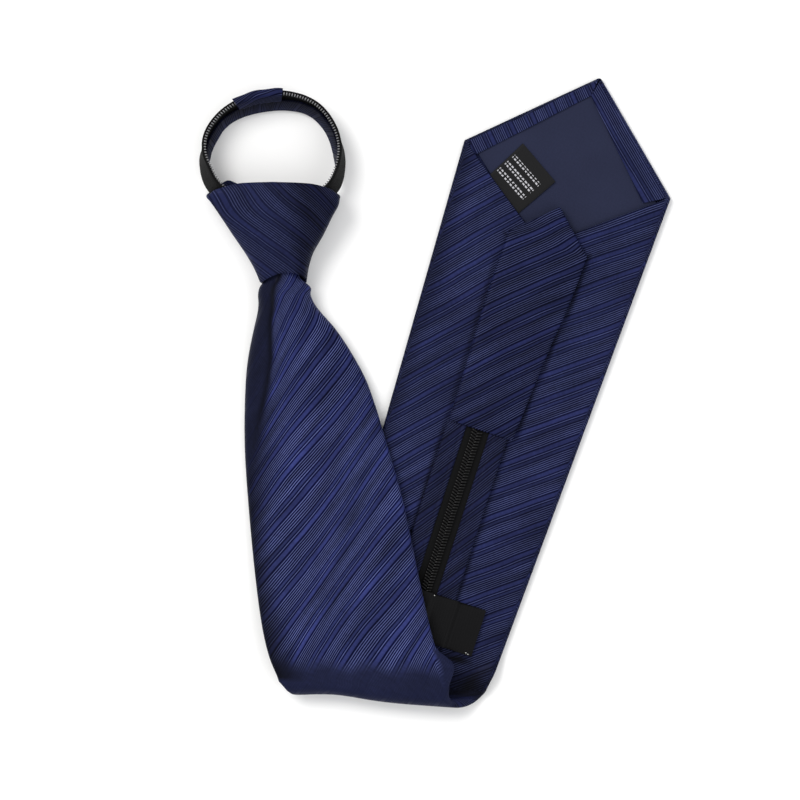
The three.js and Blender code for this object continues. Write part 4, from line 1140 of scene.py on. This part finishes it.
def knot_ring(along, inset):
    """A ring of the knot, drawn in from its outer face, with its shares across and round it."""
    at = row_at(KNOT_SECTIONS, KNOT_COLUMNS, along)
    turn = np.linspace(0, 2 * math.pi, KNOT_SIDES, endpoint=False)
    q, s = (np.sign(part) * np.abs(part) ** (2 / at["square"]) for part in (np.cos(turn), np.sin(turn)))
    sine, front = np.sin(turn), smooth(np.sin(turn), 0.0, 0.35)
    notch = 1 - smooth(np.abs(sine), 0.30, 0.62)
    dip = 2.2 * np.exp(-((q + 0.72) / 0.13) ** 2) * smooth(-sine, 0.1, 0.4)
    fall = 0.8 + 1.6 * np.abs(q) ** 1.8 + 1.4 * np.abs(q) ** 9 + notch - dip
    corners = (1.3 * smooth(-q, 0.45, 0.95) + 0.8 * smooth(q, 0.55, 0.95)) * front
    arch = np.where(sine > 0, 3.4 * (1 - q ** 2) + 1.7 * smooth(q, -0.6, 1.0), 0) * along ** 3
    y = KNOT_TOP - KNOT_LENGTH * along - (fall + corners) * (1 - along) ** 2 + arch
    crown = 0.36 * (1 - q ** 2) * math.sin(math.pi * min(along * 1.15, 1))
    fold = 0.55 * np.exp(-((q + 0.15 - 0.9 * (along - 0.5)) / 0.16) ** 2) * smooth(along, 0.2, 0.6)
    up = at["depth"] / 2 + s * (at["depth"] / 2 - inset) + front * (crown - fold) * (inset < 0.5)
    return np.stack([MOUTH[0] + at["shift"] + q * (at["width"] / 2 - inset), y, up], 1), q, sine


def knot_place(points, sine):
    """Along and across the stripes on the knot: down to the right on its front."""
    x, y = points[:, 0] - MOUTH[0], points[:, 1] - MOUTH[1]
    bend = 5.0 * smooth(y, 24, 40) * smooth(-x, -8, 22) - 0.012 * np.maximum(x - 8, 0) ** 2
    across = x * math.sin(KNOT_BIAS) + y * math.cos(KNOT_BIAS) - bend
    return np.stack([x * math.cos(KNOT_BIAS) - y * math.sin(KNOT_BIAS), across + 2.0 * (sine <= 0)], 1)


class TIE_OT_knot(bpy.types.Operator):
    """Makes the hollow knot, with round rims where the neck loop and the blade go in"""
    bl_idname = "tie.knot"
    bl_label = "Knot"

    def execute(self, context):
        stations = np.concatenate([np.linspace(0, 0.12, 10), np.linspace(0.12, 1, 54)[1:]])
        rings, places, lights = [], [], []
        rim = KNOT_WALL / 2
        shells = [(0.0, KNOT_WALL), (0.0, rim), *((a, 0.0) for a in stations), (1.0, rim), (1.0, KNOT_WALL),
                  *((a, KNOT_WALL) for a in stations[-2:0:-1])]
        for along, inset in shells:
            points, q, sine = knot_ring(along, inset)
            if inset == rim:
                points[:, 1] += 0.45 if along == 0 else -0.45
            # Painted shade on the knot's right side, where its stripes show more as painted sheen
            right = smooth(q, -0.15 + 0.5 * along, 0.55 + 0.3 * along)
            rings.append(points)
            places.append(knot_place(points, sine))
            lights.append(np.stack([0.48 - 0.22 * right, 0.65 + 0.33 * right], 1))
        knot = tube("knot_cloth", rings, places, finishes()["cloth"], lights, closed=True, angle=60)
        dress(knot, "root", ["knot_wrap"])
        return {"FINISHED"}


# The neck loop
# Sections of its bands: up the tape from the table and out from the tape's face
FACING = [(8.1, -0.3), (8.2, -1.35), (0.5, -1.30), (-0.1, -0.9), (-0.1, 0.2), (0.5, 0.25), (0.7, -0.3)]
NECK_TAPE = [(0.6, 0.95), (0.6, 0.35), (0.9, -0.15), (10.7, -0.25), (10.9, -0.70), (12.7, -0.70),
             (13.2, -0.1), (13.2, 0.7), (11.0, 0.75)]
SLEEVE = [(4.0, 1.1), (4.0, 1.6), (13.2, 1.6), (13.8, 1.1), (14.0, -1.3), (13.4, -1.9), (8.4, -2.1),
          (8.4, -1.55), (13.0, -1.2), (13.3, -0.9), (13.3, 0.9), (13.0, 1.15)]
FACING_TOP, BAND_MIDDLE, LOOP_MEAN = 8.2, 6.5, 26  # the facing's height, a tape's middle, the loop's radius
NECK_PITCH, NECK_TOOTH_UP, NECK_TOOTH_IN = 1.12, 12.8, 0.62
SLEEVE_HALF = 22  # degrees

# How far the facing's foot stands off from the tape beside the knot, from angle to angle
SPREAD_ANGLES = (-26, -16, -8, 0, 7, 14, 30, 50, 75, 90, 140, 154, 165, 174, 181, 188, 198)
SPREAD_REACH = (0.0, 1.2, 2.3, 2.8, 2.8, 2.4, 1.8, 1.3, 0.2, 0.0, 0.0, 0.2, 1.0, 2.2, 2.6, 1.6, 0.0)


def loop_frame(angle):
    """The foot of the neck band at an angle, the way up it and the way out through it."""
    at = row_at(LOOP_STATIONS, LOOP_COLUMNS, angle)
    lean = math.radians(at["lean"])
    radial = np.array([math.cos(math.radians(angle)), math.sin(math.radians(angle)), 0.0])
    rise = UP * math.cos(lean) + radial * math.sin(lean)
    face = radial * math.cos(lean) - UP * math.sin(lean)
    foot = 1.3 * abs(math.sin(lean)) + at["lift"]
    return LOOP_CENTRE + radial * (at["radius"] - BAND_MIDDLE * math.sin(lean)) + UP * foot, rise, face


def loop_band(name, section, start, end, material, slant=0.0, ripple=0.0, light=(1, 1), splay=False):
    """A band swept round part of the loop from its section of up and out."""
    rings, places = [], []
    high, out = section[:, :1], section[:, 1:]
    around = np.concatenate([[0], np.cumsum(np.linalg.norm(np.diff(section, axis=0), axis=1))])
    shadow = 1 - 0.75 * smooth(section[:, 0], 6.0, 7.9) * splay
    for turn in np.linspace(start, end, int((end - start) / 2) + 1):
        origin, rise, face = loop_frame(turn)
        wave = ripple * math.sin(turn * 0.31) * high / 8
        if splay:
            wave = wave - np.interp(turn, SPREAD_ANGLES, SPREAD_REACH) * (1 - high / FACING_TOP)
        rings.append(origin + high * rise + (out + wave) * face)
        along = math.radians(turn) * LOOP_MEAN
        places.append(np.stack([along * math.cos(slant) + around * math.sin(slant),
                                -along * math.sin(slant) + around * math.cos(slant)], 1))
    lights = [np.stack([light[0] * shadow, np.full(len(shadow), light[1])], 1)] * len(rings)
    return tube(name, rings, places, material, lights, 50)


def soft_corners(points, radius=0.25, steps=3):
    """A closed section with its corners rounded."""
    points, made = [np.asarray(p, float) for p in points], []
    for n, here in enumerate(points):
        before, after = points[n - 1] - here, points[(n + 1) % len(points)] - here
        reach = min(radius, 0.45 * np.linalg.norm(before), 0.45 * np.linalg.norm(after))
        a, b = here + unit(before) * reach, here + unit(after) * reach
        made += [a * (1 - t) ** 2 + 2 * here * t * (1 - t) + b * t * t for t in np.linspace(0, 1, steps + 1)]
    return np.array(made)


def neck_tooth_frame(turn):
    """Where a tooth of the open zip stands, and its own three directions."""
    origin, rise, face = loop_frame(turn)
    return origin + rise * NECK_TOOTH_UP - face * NECK_TOOTH_IN, rise, np.cross(face, rise), face


def tape_middle(turn):
    origin, rise, _ = loop_frame(turn)
    return origin + rise * 12


class TIE_OT_neck_loop(bpy.types.Operator):
    """Makes the neck loop: blue facing, black tapes, both rows of open teeth and the sleeve"""
    bl_idname = "tie.neck_loop"
    bl_label = "Neck loop"

    def execute(self, context):
        look = finishes()
        # The facing is painted darker than the front, a painted shade, with a painted shadow under the tape
        band = loop_band("neck_facing", soft_corners(FACING, 0.3), LOOP_START, LOOP_END, look["cloth"],
                         math.radians(76), 0.12, (0.42, 0.8), True)
        dress(band, "root", ["neck_band"])
        pattern = tooth(1.25, NECK_PITCH * 0.42, 0.9, context.scene.tie_zip.tooth_steps)
        section = soft_corners(NECK_TAPE, 0.2, 2)
        for name, start, end in (("right", LOOP_START, LOOP_MIDDLE - 0.6),
                                 ("left", LOOP_MIDDLE + 0.6, LOOP_END)):
            ribbon = loop_band(f"neck_ribbon_{name}", section, start, end, look["tape"])
            dress(ribbon, "root", [f"neck_tape_{name}"])
            turns = runs_by_length(np.linspace(start, end, 300), tape_middle, NECK_PITCH)
            frames = [neck_tooth_frame(turn) for turn in turns]
            teeth = repeated(f"neck_teeth_{name}", pattern, frames, look["coil"])
            dress(teeth, "root", [f"neck_coil_{name}"])
        # The sleeve is painted darker than the front, a painted shade
        sleeve = loop_band("sleeve_cloth", soft_corners(SLEEVE, 0.45), LOOP_MIDDLE - SLEEVE_HALF,
                           LOOP_MIDDLE + SLEEVE_HALF, look["cloth"], math.radians(16), 0.1, (0.40, 1.0))
        dress(sleeve, "root", ["loop_sleeve"])
        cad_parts["zip_slider"].data.materials.clear()
        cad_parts["zip_slider"].data.materials.append(look["nylon"])
        return {"FINISHED"}


# The stage
CAMERA_PLACE = (-0.0144, -0.0028)
SKY_LIGHT = 0.87
KEY_PLACE, FILL_PLACE, FILL_SHARE = (-0.9, 0.8, 1.5), (1.1, -0.9, 1.3), 0.35


class TIE_OT_stage(bpy.types.Operator):
    """Makes the pale table, the soft lights and the camera above the tie"""
    bl_idname = "tie.stage"
    bl_label = "Stage"

    def execute(self, context):
        sizes = context.scene.tie_stage
        bpy.ops.object.select_all(action="DESELECT")
        bpy.ops.mesh.primitive_plane_add(size=6, location=(0, 0, -0.0002))
        floor = context.object
        floor.name = "floor"
        finish = Finish("white_table", Specular_IOR_Level=0.2)
        place = finish.node("ShaderNodeTexCoord", {}, {}, "Object")
        cloudy = finish.noise(place, 3.0, 2.0)
        tint = finish.mix(cloudy, (0.90, 0.90, 0.905, 1), (0.93, 0.93, 0.925, 1))
        floor.data.materials.append(finish.surface(Base_Color=tint, Roughness=0.6 + cloudy * 0.1))
        for name, at, size, power, tint in (
                ("key_light", KEY_PLACE, 1.0, sizes.light, (1.0, 0.99, 0.97)),
                ("fill_light", FILL_PLACE, 1.6, sizes.light * FILL_SHARE, (0.95, 0.97, 1.0))):
            data = bpy.data.lights.new(name, "AREA")
            data.shape, data.size, data.energy, data.color = "DISK", size, power, tint
            lamp = bpy.data.objects.new(name, data)
            lamp.location = at
            lamp.rotation_euler = (-Vector(at)).to_track_quat("-Z", "Y").to_euler()
            context.collection.objects.link(lamp)
        world = bpy.data.worlds.new("studio")
        context.scene.world = world
        world.use_nodes = True
        sky = world.node_tree.nodes["Background"]
        sky.inputs["Color"].default_value = (1.0, 1.0, 1.0, 1)
        sky.inputs["Strength"].default_value = SKY_LIGHT
        data = bpy.data.cameras.new("camera")
        data.lens = data.sensor_width * sizes.distance / sizes.span
        data.clip_end = 50
        camera = bpy.data.objects.new("camera", data)
        camera.location = (*CAMERA_PLACE, sizes.distance)
        context.collection.objects.link(camera)
        context.scene.camera = camera
        context.scene.view_settings.view_transform = "Standard"
        return {"FINISHED"}


# The panel and the run
STEPS = ("stage", "blade", "tip", "zip_strip", "tail", "keeper", "knot", "neck_loop")


class TIE_PT_panel(bpy.types.Panel):
    """The tie's sizes and colours, and a button for each piece"""
    bl_idname = "TIE_PT_panel"
    bl_label = "Zipper tie"
    bl_space_type = "VIEW_3D"
    bl_region_type = "UI"
    bl_category = "Tie"

    def draw(self, context):
        scene = context.scene
        for group in (scene.tie_cloth, scene.tie_zip, scene.tie_stage):
            for name in group.bl_rna.properties.keys():
                if name not in ("rna_type", "name"):
                    self.layout.prop(group, name)
        for step in STEPS:
            self.layout.operator(f"tie.{step}")


CLASSES = (ClothSettings, ZipSettings, StageSettings, TIE_OT_blade, TIE_OT_tip, TIE_OT_zip_strip,
           TIE_OT_tail, TIE_OT_keeper, TIE_OT_knot, TIE_OT_neck_loop, TIE_OT_stage, TIE_PT_panel)


def register():
    for cls in CLASSES:
        bpy.utils.register_class(cls)
    bpy.types.Scene.tie_cloth = PointerProperty(type=ClothSettings)
    bpy.types.Scene.tie_zip = PointerProperty(type=ZipSettings)
    bpy.types.Scene.tie_stage = PointerProperty(type=StageSettings)


def unregister():
    for name in ("tie_cloth", "tie_zip", "tie_stage"):
        delattr(bpy.types.Scene, name)
    for cls in reversed(CLASSES):
        bpy.utils.unregister_class(cls)


def main():
    register()
    for step in STEPS:
        getattr(bpy.ops.tie, step)()


if __name__ == "__main__":
    main()
